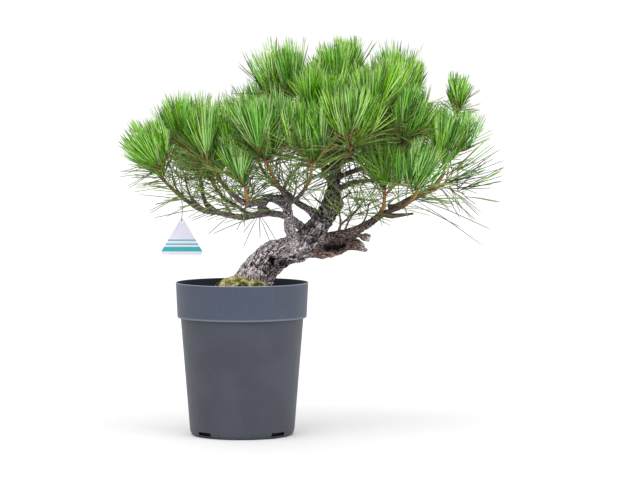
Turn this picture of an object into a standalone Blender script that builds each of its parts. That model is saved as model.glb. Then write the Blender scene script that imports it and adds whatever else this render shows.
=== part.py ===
"""Japanese black pine bonsai in the round plastic pot it was grown in.

Metres, +Z up. The origin is the middle of the pot's flat underside, +X is the side that the tree
leans to, and -Y is its front. Sizes below are in millimetres and are scaled by MM.
"""

import math
import random

import bmesh
import bpy
import numpy as np
from mathutils import Vector

MM = 0.001
GAP = 0.3  # between pieces that touch
CUT_GAP = GAP + 0.1  # allows for the flat sides of a cutter
CUT_SIDES = 12

# Pot
RIM_RADIUS = 100.0
POT_HEIGHT = 230.0
BAND_HEIGHT = 53.0
BAND_FOOT = POT_HEIGHT - BAND_HEIGHT
BAND_FOOT_RADIUS = 97.4
BODY_TOP_RADIUS = 92.3
BODY_FOOT_RADIUS = 79.0
FOOT_RADIUS = 73.5
FOOT_CORNER = 10.0
WALL = 2.2
FLOOR = 4.0
POT_STEPS = 32
SLOT_WIDTH = 26.0
SLOT_HEIGHT = 5.0
SLOT_COUNT = 4
ARCH_WIDTH = 36.0
ARCH_HEIGHT = 2.0
ARCH_REACH = 62.0
SLOT_REACH = 60.0
CUTTER_REACH = 95.0
RIM_ROUND = 0.7
LEDGE_ROUND = 2.2
LEDGE_HEIGHT = 2.6
INNER_LEDGE = (1.0, 4.5)  # heights above the band's foot at which the inside steps out
HEEL = ((0.8, 4.5), (2.6, 8.0))  # how far in and down from the foot corner the heel turns

# Soil and moss
SOIL_TOP = 212.0
SOIL_GAP = 2 * GAP
MOUND_CENTRE = Vector((1, -9, 0))
MOUND_RADII = Vector((44, 43, 25))
MOUND_LOBES = 5
MOUND_SWELL = 0.06

# Trunk: points up its middle, each with its radius
TRUNK = (
    (10, 0, SOIL_TOP + GAP, 28),
    (10, 0, SOIL_TOP + 9, 26.5),
    (17, 0, 235, 24.8),
    (29, 0, 251, 24),
    (47, -2, 268, 22.5),
    (66, -4, 276, 21),
    (87, -5, 284, 20.5),
    (104, -3, 301, 17),
    (121, 0, 322, 14),
    (131, 4, 338, 12.6),
    (134, 8, 355, 10.2),
    (138, 10, 377, 8.8),
    (140, 10, 404, 7.6),
    (146, 6, 436, 6.4),
    (143, 0, 464, 5.4),
    (148, -4, 486, 4.5),
    (150, -6, 502, 3.6),
)
ROOT_LOBES = 5
ROOT_SWELL = 0.16
ROOT_TURN = 0.8
ROOT_HEIGHT = 22.0
FLAT_FOOT = 1.5
KNOT = Vector((149, 0, 348))  # where a lost bough has healed over
KNOT_REACH = 9.0
KNOT_RISE = 10.0
BARK_SWELL = 0.05

# Boughs that carry others: points along the middle, radius at the root and at the tip, and how
# late the bough thins, from 1 for an even taper
BOUGHS = {
    "front_bough": (((82, -8, 288), (73, -24, 311), (69, -34, 333), (66, -43, 354)), 8.8, 6.2, 1),
    "arch_bough": (((66, -45, 352), (46, -52, 358), (32, -54, 355), (17, -54, 349), (7, -53, 349)),
                   6.5, 4.2, 1),
    "lower_left_bough": (((97, 4, 305), (80, 12, 320), (62, 14, 330), (39, 10, 334), (21, 6, 330),
                          (2, 2, 327), (-16, 0, 329), (-34, -2, 334), (-54, -2, 336), (-66, -4, 341)),
                         6.0, 3.2, 1),
    "right_bough": (((118, -4, 296), (145, -14, 301), (160, -20, 306), (176, -24, 312), (193, -28, 321),
                     (210, -30, 333), (223, -36, 332), (238, -42, 333), (256, -46, 335)), 7.0, 1.3, 2.2),
    "right_high_bough": (((143, 8, 419), (172, 0, 432), (202, -8, 453)), 5.0, 3.6, 1),
}
# A limb that closes the loop between two of them: points, radii and taper as above
LOOP_BOUGH = (((34, 8, 335), (29, -23, 344), (36, -52, 355)), 6.0, 5.6, 1)

# Branches, each a bough and the needle mass that it runs into: points along the middle as far as the
# foot of the brush, radius at the root, number of shoots, where the brush leans, and needle length
BRANCHES = {
    "left_tip": (
        ((-64, -4, 341), (-79, -7, 350), (-104, -10, 370), (-126, -12, 393)),
        3.0, 3, (-0.58, -0.05, 0.82), 68,
    ),
    "upper_left": (
        ((-47, -2, 336), (-57, 6, 355), (-60, 6, 376), (-65, 4, 391), (-81, 0, 432)),
        3.0, 4, (-0.1, 0, 0.99), 64,
    ),
    "left_shoulder": (
        ((6, -53, 350), (-8, -50, 360), (-22, -42, 374), (-33, -37, 386), (-45, -32, 410)),
        3.4, 4, (0.04, -0.05, 1), 80,
    ),
    "low_left": (
        ((12, -54, 350), (8, -62, 364), (4, -64, 386)),
        2.8, 3, (-0.05, -0.35, 0.94), 62,
    ),
    "front_left": (
        ((69, -42, 352), (62, -58, 367), (53, -70, 381), (46, -77, 393), (35, -86, 418)),
        3.4, 4, (-0.16, -0.16, 0.97), 84,
    ),
    "front_mid": (
        ((70, -41, 350), (86, -55, 361), (99, -66, 377), (104, -74, 390), (104, -84, 410)),
        3.2, 4, (0, -0.14, 0.99), 82,
    ),
    "left_high": (
        ((139, 10, 392), (98, 26, 423), (68, 36, 445), (48, 34, 461)),
        4.6, 4, (-0.22, 0.08, 0.96), 66,
    ),
    "top_left": (
        ((142, 10, 409), (115, 2, 435), (94, -4, 462), (77, -6, 488), (65, -6, 508)),
        4.4, 4, (-0.2, 0, 0.98), 66,
    ),
    "upper_centre": (
        ((145, 2, 455), (130, -26, 462), (117, -38, 469), (107, -42, 480)),
        3.4, 4, (-0.05, -0.3, 0.95), 66,
    ),
    "front_centre": (
        ((140, 10, 399), (145, -35, 410), (156, -70, 421), (163, -96, 434)),
        4.2, 4, (0.04, -0.26, 0.96), 80,
    ),
    "front_right": (
        ((146, 6, 440), (166, -30, 446), (186, -58, 456), (200, -74, 468)),
        3.8, 4, (0.18, -0.22, 0.96), 78,
    ),
    "right_mid": (
        ((140, 10, 386), (168, -25, 398), (196, -54, 410), (222, -68, 424), (242, -72, 440)),
        4.0, 4, (0.1, -0.14, 0.98), 78,
    ),
    "top_right": (
        ((202, -8, 453), (226, -12, 464), (240, -14, 480)),
        3.4, 4, (0.08, -0.02, 1), 78,
    ),
    "right_top": (
        ((197, -6, 449), (246, 6, 456), (286, 16, 464), (312, 20, 473), (328, 22, 487)),
        3.4, 2, (0.12, 0.05, 0.99), 40,
    ),
    "right_outer": (
        ((220, -32, 342), (233, -34, 347), (250, -38, 356), (268, -42, 366), (287, -46, 377),
         (300, -48, 394), (302, -48, 414)),
        3.9, 4, (0.14, -0.05, 0.98), 66,
    ),
    "far_right": (
        ((221, -31, 343), (246, -14, 350), (274, 2, 361), (306, 12, 378)),
        3.4, 3, (0.92, 0.05, 0.3), 82,
    ),
    "lower_right": (
        ((206, -30, 331), (212, -44, 348), (213, -56, 370)),
        3.0, 3, (-0.05, -0.25, 0.96), 70,
    ),
    "right_low": (
        ((214, -31, 336), (236, -54, 344), (252, -74, 356), (262, -86, 373)),
        3.0, 3, (0.3, -0.45, 0.8), 66,
    ),
    "upper_right": (
        ((138, 10, 366), (156, 42, 374), (178, 64, 379), (202, 77, 382), (224, 84, 386)),
        4.8, 4, (0.28, 0.3, 0.9), 76,
    ),
    "right_back": (
        ((170, 0, 431), (202, 34, 424), (228, 58, 420), (248, 72, 427)),
        3.2, 4, (0.14, 0.32, 0.93), 70,
    ),
    "back_right": (
        ((140, 10, 405), (162, 50, 413), (186, 88, 424), (206, 112, 438)),
        3.8, 4, (0.16, 0.3, 0.94), 76,
    ),
    "back_low": (
        ((138, 10, 376), (134, 55, 380), (126, 98, 388), (120, 128, 402)),
        4.4, 4, (-0.04, 0.42, 0.9), 76,
    ),
    "back_high": (
        ((146, 6, 443), (138, 42, 450), (128, 76, 460), (122, 94, 470)),
        3.6, 4, (-0.02, 0.24, 0.97), 76,
    ),
    "back_left": (
        ((112, 2, 331), (95, 16, 342), (80, 34, 351), (60, 60, 366), (40, 84, 382), (26, 104, 402),
         (20, 114, 422)),
        5.4, 4, (-0.16, 0.28, 0.94), 76,
    ),
    "back_low_left": (
        ((12, 4, 330), (-8, 34, 342), (-34, 60, 360), (-52, 70, 386)),
        3.0, 4, (-0.3, 0.28, 0.9), 76,
    ),
}
# Masses whose stem leaves the trunk itself, with no bough of its own
ON_TRUNK = ("upper_centre", "front_centre", "front_right", "back_high", "back_right")
TOP_LEAN = Vector((-0.04, -0.02, 1.0))
TOP_STEM = 10.0
TOP_SHOOTS = 4
TOP_NEEDLES = 68.0
LEAST_BOUGH_SHARE = 0.5
BRANCH_TIP_RADIUS = 2.0
ROOT_COLLAR = 0.35
COLLAR_LENGTH = 9.0
LIMB_STEP = 19.0
TRUNK_STEP = 14.0
BOUGH_SIDES = 8
BRANCH_SIDES = 6
STEM_SIDES = 4
STEM_OVERRUN = 1.5
KINK = 1.1

GOLDEN_TURN = math.radians(137.5)
SEAM_SIDE = Vector((0.31, 0.95, 0.05))  # no shoot or needle points this way exactly

# Needle masses: a spray is a thin blade with a tooth for each needle
SHORTEST_NEEDLE = 0.84
BLADE_THICKNESS = 1.1
BLADE_ROOT_WIDTH = 1.5
BLADE_TEETH = 4
TOOTH_STEP = 14.0
TOOTH_START = 0.48
LEAST_TEETH = 2
LEADER_OPENINGS = (10.0, 32.0, 36.0, 40.0)
SIDE_OPENINGS = (14.0, 38.0)
BLADES_APART = 1.0
BLADE_LIFT = 0.15
BLADE_SINK = 1.0
BLADE_TRIES = 6
OPENING_SPAN = (0.85, 1.15)
TOOTH_STRAY = 0.2
CLEAR_FROM = 0.16
CLEAR_START = 0.3
LEADER_LENGTH = 12.0
SHOOT_LENGTH = 36.0
SHOOT_SPAN = (0.8, 1.15)
SHOOT_TRIES = 12
SHOOT_SPREAD = 0.65
SHOOT_LIFT = 0.35
SHOOT_DROPS = (2.0, 14.0)
SHOOT_ROOT = 1.9
SHOOT_TIP = 1.6
BRUSH_DEPTH = 16.0
BRUSH_SHARE = 0.8
BRUSH_CENTRE = 30.0
BRUSH_REACH = 94.0
KEEP_APART = 1.6
KEEP_OFF_LIMB = 1.6
CHECKS_ALONG = 13

# Dead stub
STUB = ((92, 2, 279), (110, 2, 279), (128, 4, 280), (143, 7, 281), (157, 8, 287), (171, 8, 286),
        (183, 7, 280))
STUB_RADII = (12.5, 12.5, 12.2, 11.2, 9.2, 8.2, 5.4)
STUB_LINK = ((164, 7, 293), (173, 5, 300), (187, 4, 297))
STUB_LINK_RADII = (4.2, 3.4, 3.6)
STUB_KNOB_RADIUS = 6.6

# Tag
TAG_HOLE = Vector((-90, -9, 321))
TAG_HALF_BASE = 34.0
TAG_HEIGHT = 58.0
TAG_THICKNESS = 1.0
TAG_CORNER = 4.0
TAG_HOLE_RADIUS = 2.4
TAG_HOLE_DROP = 8.5
TIE_RADIUS = 0.55
TOP_LOOP = 5.2
LOW_LOOP = 4.0
LOOP_STEPS = 8

MATERIALS = {
    "bark": ((0.115, 0.085, 0.070), 0.9),
    "dead_wood": ((0.30, 0.23, 0.19), 0.85),
    "needles": ((0.055, 0.19, 0.025), 0.5),
    "pot_plastic": ((0.105, 0.118, 0.145), 0.55),
    "soil": ((0.060, 0.042, 0.030), 0.95),
    "moss": ((0.19, 0.20, 0.035), 0.95),
    "tag_plastic": ((0.80, 0.79, 0.88), 0.35),
    "tie": ((0.12, 0.12, 0.13), 0.5),
}


def clear_scene():
    for old in list(bpy.data.objects):
        bpy.data.objects.remove(old, do_unlink=True)


def make_collection(name):
    collection = bpy.data.collections.new(name)
    bpy.context.scene.collection.children.link(collection)
    return collection


def make_material(name):
    colour, roughness = MATERIALS[name]
    material = bpy.data.materials.new(name)
    material.use_nodes = True
    shader = material.node_tree.nodes["Principled BSDF"]
    shader.inputs["Base Color"].default_value = (*colour, 1)
    shader.inputs["Roughness"].default_value = roughness
    shader.inputs["Metallic"].default_value = 0
    return material


def add_object(name, mesh, collection, material=None):
    made = bpy.data.objects.new(name, mesh)
    collection.objects.link(made)
    if material:
        mesh.materials.clear()
        mesh.materials.append(material)
    return made


def evaluated_mesh(made, weld=True):
    """A plain mesh of the object with its modifiers, or its curve, worked out."""
    bpy.context.view_layer.update()
    graph = bpy.context.evaluated_depsgraph_get()
    mesh = bpy.data.meshes.new_from_object(made.evaluated_get(graph))
    work = bmesh.new()
    work.from_mesh(mesh)
    work.transform(made.matrix_world)
    if weld:
        bmesh.ops.remove_doubles(work, verts=work.verts, dist=1e-6)
    work.to_mesh(mesh)
    work.free()
    return mesh


def remove_object(made):
    data = made.data
    bpy.data.objects.remove(made, do_unlink=True)
    if isinstance(data, bpy.types.Mesh) and not data.users:
        bpy.data.meshes.remove(data)


def islands(work):
    """The connected pieces of a mesh, as sets of vertices."""
    left = set(work.verts)
    while left:
        found = {left.pop()}
        edge = list(found)
        while edge:
            near = {e.other_vert(v) for v in edge for e in v.link_edges} & left
            left -= near
            found |= near
            edge = list(near)
        yield found


def keep_largest(mesh):
    """Drops what a cut or a union leaves loose, and fills the hollows that it seals."""
    work = bmesh.new()
    work.from_mesh(mesh)
    bmesh.ops.triangulate(work, faces=work.faces)

    def volume(piece):
        faces = {face for vertex in piece for face in vertex.link_faces}
        return sum(f.verts[0].co.dot(f.verts[1].co.cross(f.verts[2].co)) for f in faces)

    pieces = sorted(islands(work), key=volume)
    for piece in pieces[:-1]:
        bmesh.ops.delete(work, geom=list(piece), context="VERTS")
    work.to_mesh(mesh)
    work.free()


def apply_modifiers(made):
    """The object with its modifiers made part of its mesh."""
    old = made.data
    mesh = evaluated_mesh(made, weld=False)
    keep_largest(mesh)
    made.modifiers.clear()
    made.data = mesh
    bpy.data.meshes.remove(old)


def smooth_path(points, step):
    """Points on a Catmull-Rom curve through the given ones, about a step apart."""
    ends = [points[0] * 2 - points[1], *points, points[-1] * 2 - points[-2]]
    path = []
    for before, start, end, after in zip(ends, ends[1:], ends[2:], ends[3:]):
        count = max(1, round((end - start).length / step))
        for k in range(count):
            t = k / count
            path.append(
                0.5 * (2 * start + (end - before) * t + (2 * before - 5 * start + 4 * end - after) * t * t
                       + (3 * start - before - 3 * end + after) * t ** 3)
            )
    return [*path, points[-1]]


def lengths_along(path):
    """How far along a path each of its points lies."""
    total, found = 0.0, [0.0]
    for start, end in zip(path, path[1:]):
        total += (end - start).length
        found.append(total)
    return found


class Limb:
    """A tapering limb, as points down its middle and a radius at each."""

    def __init__(self, path, radii):
        self.path = path
        self.radii = radii

    def grown(self, more):
        """The limb made larger by the same amount all round and at its tip."""
        way = (self.path[-1] - self.path[-2]).normalized()
        return Limb([*self.path[:-1], self.path[-1] + way * more], [radius + more for radius in self.radii])

    def piece(self, first, last):
        return Limb(self.path[first:last], self.radii[first:last])


def grow_limb(points, root, tip, lateness, rng):
    """A limb that thickens into a collar at its root and kinks a little on its way."""
    path = smooth_path([Vector(point) for point in points], LIMB_STEP)
    along = lengths_along(path)
    radii = []
    for k, here in enumerate(along):
        share = (here / along[-1]) ** lateness
        collar = 1 + ROOT_COLLAR * math.exp(-here / COLLAR_LENGTH)
        radii.append((root + (tip - root) * share) * collar)
        if 1 < k < len(path) - 1:
            path[k] = path[k] + Vector([rng.uniform(-KINK, KINK) for _ in range(3)])
    return Limb(path, radii)


def limb_mesh(limb, sides):
    """The limb as a closed tube with an even number of sides and flat ends."""
    curve = bpy.data.curves.new("limb", "CURVE")
    curve.dimensions = "3D"
    curve.bevel_depth = MM
    curve.bevel_resolution = sides // 2 - 2
    curve.use_fill_caps = True
    spline = curve.splines.new("POLY")
    spline.points.add(len(limb.path) - 1)
    for point, middle, radius in zip(spline.points, limb.path, limb.radii):
        point.co = (*(middle * MM), 1)
        point.radius = radius
    guide = add_object("guide", curve, bpy.context.scene.collection)
    mesh = evaluated_mesh(guide)
    bpy.data.objects.remove(guide, do_unlink=True)
    bpy.data.curves.remove(curve)
    halve_faces(mesh)
    return mesh


def halve_faces(mesh):
    """Splits four-sided faces the same way on a limb as on the larger copy that cuts its neighbours."""
    work = bmesh.new()
    work.from_mesh(mesh)
    sides = [face for face in work.faces if len(face.verts) == 4]
    bmesh.ops.triangulate(work, faces=sides, quad_method="FIXED")
    work.to_mesh(mesh)
    work.free()


def combine(made, others, operation, helpers):
    """Joins the given meshes to an object, or cuts them out of it, one after another."""
    for mesh in others:
        helper = add_object("helper", mesh, helpers)
        helper.hide_render = True
        helper.display_type = "WIRE"
        step = made.modifiers.new("combine", "BOOLEAN")
        step.operation = operation
        step.object = helper
    apply_modifiers(made)
    for helper in list(helpers.objects):
        remove_object(helper)


def cut_clear(made, limbs, helpers):
    """Ends an object a gap short of the limbs that it starts in or passes close to."""
    combine(made, [limb_mesh(limb.grown(CUT_GAP), CUT_SIDES) for limb in limbs], "DIFFERENCE", helpers)


def near(first, second, spare):
    """Whether two limbs come within a spare distance of touching."""
    return any(
        (a - b).length < r + s + spare
        for a, r in zip(first.path, first.radii)
        for b, s in zip(second.path, second.radii)
    )


class Capsules:
    """The straight lengths of many limbs, for telling how far a needle is from all of them."""

    def __init__(self, limbs):
        starts, ends, radii = [], [], []
        for limb in limbs:
            starts += [tuple(point) for point in limb.path[:-1]]
            ends += [tuple(point) for point in limb.path[1:]]
            radii += [max(pair) for pair in zip(limb.radii, limb.radii[1:])]
        self.start = np.array(starts)
        self.line = np.array(ends) - self.start
        self.square = np.maximum((self.line ** 2).sum(1), 1e-9)
        self.radius = np.array(radii)

    def clearance(self, start, end):
        """The least distance from a straight line between two points to any limb's surface."""
        share = np.linspace(0, 1, CHECKS_ALONG)[:, None]
        points = np.array(start) * (1 - share) + np.array(end) * share
        offset = points[:, None] - self.start
        along = np.clip((offset * self.line).sum(2) / self.square, 0, 1)
        away = np.linalg.norm(offset - along[..., None] * self.line, axis=2)
        return float((away - self.radius).min())


class Space:
    """What one mass keeps to: all that is nearer its own centre than any neighbour's, and in reach."""

    def __init__(self, name, centres, reach):
        self.centre = centres[name]
        self.others = [centre for other, centre in centres.items() if other != name]
        self.reach = reach

    def holds(self, point, margin=KEEP_APART):
        if (point - self.centre).length > self.reach:
            return False
        for other in self.others:
            across = other - self.centre
            side = (point - self.centre).dot(across) / across.length
            if side > across.length / 2 - margin:
                return False
        return True


def enters_at(path, space):
    """The first point of a path from which on it stays inside a mass's space."""
    first = len(path) - 1
    while first > 1 and space.holds(path[first - 1]):
        first -= 1
    return first


def across(direction, angle):
    """A unit vector square to a direction, turned round it by an angle."""
    side = direction.cross(SEAM_SIDE).normalized()
    return side * math.cos(angle) + direction.cross(side) * math.sin(angle)


def grow_shoots(stem_tip, stem_way, lean, count, space, limbs, rng):
    """The shoots that fork from a stem: the leader first, then side shoots in a spiral round it."""
    shoots = [(stem_tip, stem_tip + lean * LEADER_LENGTH)]
    turn = rng.uniform(0, math.tau)
    for k in range(1, count):
        for attempt in range(SHOOT_TRIES):
            turn += GOLDEN_TURN
            way = (lean * SHOOT_SPREAD + across(lean, turn) + Vector((0, 0, SHOOT_LIFT))).normalized()
            start = stem_tip - stem_way * rng.uniform(*SHOOT_DROPS)
            end = start + way * SHOOT_LENGTH * rng.uniform(*SHOOT_SPAN)
            if space.holds(end) and limbs.clearance(start.lerp(end, CLEAR_START), end) > KEEP_OFF_LIMB:
                shoots.append((start, end))
                break
    return shoots


def grow_blades(shoots, space, limbs, rng, length):
    """Sprays round the last stretch of each shoot, each as (root, way, side, teeth)."""
    blades = []
    taken = [Limb([start, end], [SHOOT_ROOT] * 2) for start, end in shoots]
    for number, (start, end) in enumerate(shoots):
        way = (end - start).normalized()
        turn = rng.uniform(0, math.tau)
        openings = SIDE_OPENINGS if number else LEADER_OPENINGS
        depth = min(BRUSH_DEPTH, (end - start).length * BRUSH_SHARE)
        for k, opening in enumerate(openings):
            root = end - way * (BLADE_SINK + depth * k / len(openings))
            for attempt in range(BLADE_TRIES):
                turn += GOLDEN_TURN
                tilt = math.radians(opening * rng.uniform(*OPENING_SPAN))
                out = across(way, turn)
                aim = way * math.cos(tilt) + out * math.sin(tilt)
                aim = (aim + Vector((0, 0, BLADE_LIFT))).normalized()
                side = aim.cross(out).normalized()
                own = Capsules(taken)
                teeth = fitting_teeth(root, aim, side, length, space, (limbs, own), rng)
                if len(teeth) >= LEAST_TEETH:
                    blades.append((root, aim, side, teeth))
                    taken += [tooth_line(root, aim, side, tooth) for tooth in teeth]
                    break
    return blades


def tooth_line(root, aim, side, tooth):
    """One tooth's middle line, from a little off its root to its tip."""
    angle, far = tooth
    line = aim * math.cos(angle) + side * math.sin(angle)
    return Limb([root + line * far * CLEAR_FROM, root + line * far], [BLADES_APART] * 2)


def fitting_teeth(root, aim, side, length, space, obstacles, rng):
    """The longest run of a blade's teeth that stay in the space and clear of limbs and other blades."""
    limbs, own = obstacles
    runs = [[]]
    for k in range(BLADE_TEETH):
        place = k - (BLADE_TEETH - 1) / 2 + rng.uniform(-TOOTH_STRAY, TOOTH_STRAY)
        angle = math.radians(TOOTH_STEP * place)
        long = length * rng.uniform(SHORTEST_NEEDLE, 1.0)
        base, tip = tooth_line(root, aim, side, (angle, long)).path
        inside = space.holds(tip) and space.holds(root)
        clear = limbs.clearance(base, tip) > KEEP_OFF_LIMB and own.clearance(base, tip) > BLADES_APART
        if inside and clear:
            runs[-1].append((angle, long))
        else:
            runs.append([])
    return max(runs, key=len)


def blade_mesh(root, aim, side, teeth):
    """A flat toothed outline, narrow at its root, given a thickness."""
    start = TOOTH_START * teeth[0][1]

    def place(angle, far):
        return root + (aim * math.cos(angle) + side * math.sin(angle)) * far

    outline = [root - side * BLADE_ROOT_WIDTH / 2]
    for k, (angle, far) in enumerate(teeth):
        if k:
            outline.append(place((angle + teeth[k - 1][0]) / 2, start))
        outline.append(place(angle, far))
    outline.append(root + side * BLADE_ROOT_WIDTH / 2)
    work = bmesh.new()
    across_blade = aim.cross(side) * BLADE_THICKNESS
    face = work.faces.new([work.verts.new((point - across_blade / 2) * MM) for point in outline])
    grown = bmesh.ops.extrude_face_region(work, geom=[face])
    moved = [item for item in grown["geom"] if isinstance(item, bmesh.types.BMVert)]
    bmesh.ops.translate(work, verts=moved, vec=across_blade * MM)
    bmesh.ops.recalc_face_normals(work, faces=work.faces)
    mesh = bpy.data.meshes.new("blade")
    work.to_mesh(mesh)
    work.free()
    return mesh


def spike_mesh(start, end, root, tip):
    """A slim three-sided spike between two points."""
    line = end - start
    work = bmesh.new()
    bmesh.ops.create_cone(
        work, cap_ends=True, segments=3, radius1=root * MM, radius2=tip * MM, depth=line.length * MM
    )
    work.transform(line.to_track_quat("Z", "Y").to_matrix().to_4x4())
    bmesh.ops.translate(work, verts=work.verts, vec=(start + end) / 2 * MM)
    mesh = bpy.data.meshes.new("spike")
    work.to_mesh(mesh)
    work.free()
    return mesh


def join_mass(name, stem, shoots, blades, collection, material):
    """One closed body from the stem and everything that stands out of it."""
    made = add_object(name, limb_mesh(stem, STEM_SIDES), collection, material)
    parts = bpy.data.collections.new(name + "_parts")
    bpy.context.scene.collection.children.link(parts)
    for start, end in shoots:
        add_object("shoot", spike_mesh(start, end, SHOOT_ROOT, SHOOT_TIP), parts)
    for blade in blades:
        add_object("blade", blade_mesh(*blade), parts)
    union = made.modifiers.new("join", "BOOLEAN")
    union.operation = "UNION"
    union.operand_type = "COLLECTION"
    union.collection = parts
    union.solver = "MANIFOLD"
    apply_modifiers(made)
    for part in list(parts.objects):
        remove_object(part)
    bpy.data.collections.remove(parts)
    return made


def turned_mesh(profile):
    """A profile of (radius, height) pairs turned round the Z axis."""
    mesh = bpy.data.meshes.new("profile")
    mesh.from_pydata(
        [(radius * MM, 0, height * MM) for radius, height in profile],
        [(k, k + 1) for k in range(len(profile) - 1)],
        [],
    )
    guide = add_object("guide", mesh, bpy.context.scene.collection)
    screw = guide.modifiers.new("turn", "SCREW")
    screw.steps = screw.render_steps = POT_STEPS
    screw.use_merge_vertices = True
    screw.merge_threshold = 0.0001
    turned = evaluated_mesh(guide)
    remove_object(guide)
    return turned


def inner_radius(height):
    """The pot's inner wall, below its band."""
    share = (height - FOOT_CORNER) / (BAND_FOOT - FOOT_CORNER)
    return BODY_FOOT_RADIUS + (BODY_TOP_RADIUS - BODY_FOOT_RADIUS) * share - WALL


def build_pot(collection, helpers, material):
    profile = (
        (0, FLOOR),
        (FOOT_RADIUS - 1, FLOOR),
        (BODY_FOOT_RADIUS - WALL, FOOT_CORNER),
        (inner_radius(BAND_FOOT), BAND_FOOT + INNER_LEDGE[0]),
        (BAND_FOOT_RADIUS - WALL, BAND_FOOT + INNER_LEDGE[1]),
        (RIM_RADIUS - WALL, POT_HEIGHT - RIM_ROUND),
        (RIM_RADIUS - WALL + RIM_ROUND, POT_HEIGHT),
        (RIM_RADIUS - RIM_ROUND, POT_HEIGHT),
        (RIM_RADIUS, POT_HEIGHT - RIM_ROUND),
        (BAND_FOOT_RADIUS, BAND_FOOT + LEDGE_HEIGHT),
        (BAND_FOOT_RADIUS - RIM_ROUND, BAND_FOOT + RIM_ROUND),
        (BAND_FOOT_RADIUS - LEDGE_ROUND, BAND_FOOT),
        (BODY_TOP_RADIUS, BAND_FOOT - RIM_ROUND),
        (BODY_FOOT_RADIUS, FOOT_CORNER),
        *((BODY_FOOT_RADIUS - inward, FOOT_CORNER - down) for inward, down in HEEL),
        (FOOT_RADIUS, 0),
        (0, 0),
    )
    pot = add_object("pot", turned_mesh(profile), collection, material)
    boxes = []
    for k in range(SLOT_COUNT):
        turn = math.radians(45 + 360 / SLOT_COUNT * k)
        boxes.append(box_mesh((SLOT_REACH, CUTTER_REACH), SLOT_WIDTH, (FLOOR, FLOOR + SLOT_HEIGHT), turn))
        boxes.append(box_mesh((ARCH_REACH, CUTTER_REACH), ARCH_WIDTH, (-ARCH_HEIGHT, ARCH_HEIGHT), turn))
    combine(pot, boxes, "DIFFERENCE", helpers)
    return pot


def box_mesh(reach, width, heights, turn):
    """A box from one distance to another from the axis, turned round it."""
    work = bmesh.new()
    bmesh.ops.create_cube(work, size=1)
    size = Vector((reach[1] - reach[0], width, heights[1] - heights[0]))
    middle = Vector((sum(reach) / 2, 0, sum(heights) / 2))
    for vertex in work.verts:
        place = vertex.co * size + middle
        vertex.co = Vector((
            place.x * math.cos(turn) - place.y * math.sin(turn),
            place.x * math.sin(turn) + place.y * math.cos(turn),
            place.z,
        )) * MM
    mesh = bpy.data.meshes.new("box")
    work.to_mesh(mesh)
    work.free()
    return mesh


def build_soil(collection, material):
    slope = (RIM_RADIUS - BAND_FOOT_RADIUS) / BAND_HEIGHT
    profile = (
        (0, SOIL_TOP),
        (BAND_FOOT_RADIUS + slope * (SOIL_TOP - BAND_FOOT) - WALL - SOIL_GAP, SOIL_TOP),
        (BAND_FOOT_RADIUS - WALL - SOIL_GAP, BAND_FOOT + INNER_LEDGE[1] + 1),
        (inner_radius(BAND_FOOT) - SOIL_GAP, BAND_FOOT + INNER_LEDGE[0] + 1),
        (BODY_FOOT_RADIUS - WALL - SOIL_GAP, FOOT_CORNER + 1),
        (FOOT_RADIUS - 2, FLOOR + GAP),
        (0, FLOOR + GAP),
    )
    return add_object("soil", turned_mesh(profile), collection, material)


def shape_trunk(mesh, spare=0.0):
    """Root flare in lobes at the foot, with a flat cut that a cutter has a little lower, and the knot."""
    foot = Vector(TRUNK[0][:3])
    ways = [vertex.normal.copy() for vertex in mesh.vertices]
    for vertex, way in zip(mesh.vertices, ways):
        place = vertex.co / MM
        out = Vector((place.x - foot.x, place.y - foot.y, 0))
        height = max(place.z - foot.z, 0.0)
        angle = math.atan2(out.y, out.x)
        fade = math.exp(-(height / ROOT_HEIGHT) ** 2)
        lobe = math.cos(ROOT_LOBES * angle + ROOT_TURN) * ROOT_SWELL * fade
        if height < 2 * ROOT_HEIGHT:
            place += out * lobe
        if place.z < foot.z + FLAT_FOOT:
            place.z = foot.z - spare
        share = math.exp(-((place - KNOT).length / KNOT_REACH) ** 2)
        vertex.co = (place + way * KNOT_RISE * share) * MM


def trunk_limb(rng):
    path = smooth_path([Vector(point[:3]) for point in TRUNK], TRUNK_STEP)
    along = lengths_along(path)
    marks = lengths_along([Vector(point[:3]) for point in TRUNK])
    scale = along[-1] / marks[-1]
    radii = []
    for here in along:
        radius = float(np.interp(here / scale, marks, [point[3] for point in TRUNK]))
        radii.append(radius * (1 + rng.uniform(-BARK_SWELL, BARK_SWELL)))
    return Limb(path, radii)


def build_stub(collection, helpers, material, neighbours):
    """The torn-off limb under the right bough, with its curled end and the knob above it."""
    limb = Limb([Vector(point) for point in STUB], list(STUB_RADII))
    link = Limb([Vector(point) for point in STUB_LINK], list(STUB_LINK_RADII))
    made = add_object("old_stub", limb_mesh(limb, 8), collection, material)
    knob = bmesh.new()
    bmesh.ops.create_uvsphere(knob, u_segments=8, v_segments=5, radius=STUB_KNOB_RADIUS * MM)
    bmesh.ops.translate(knob, verts=knob.verts, vec=Vector(STUB_LINK[-1]) * MM)
    knob_mesh = bpy.data.meshes.new("knob")
    knob.to_mesh(knob_mesh)
    knob.free()
    combine(made, (limb_mesh(link, 6), knob_mesh), "UNION", helpers)
    cut_clear(made, neighbours, helpers)
    return limb


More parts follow.
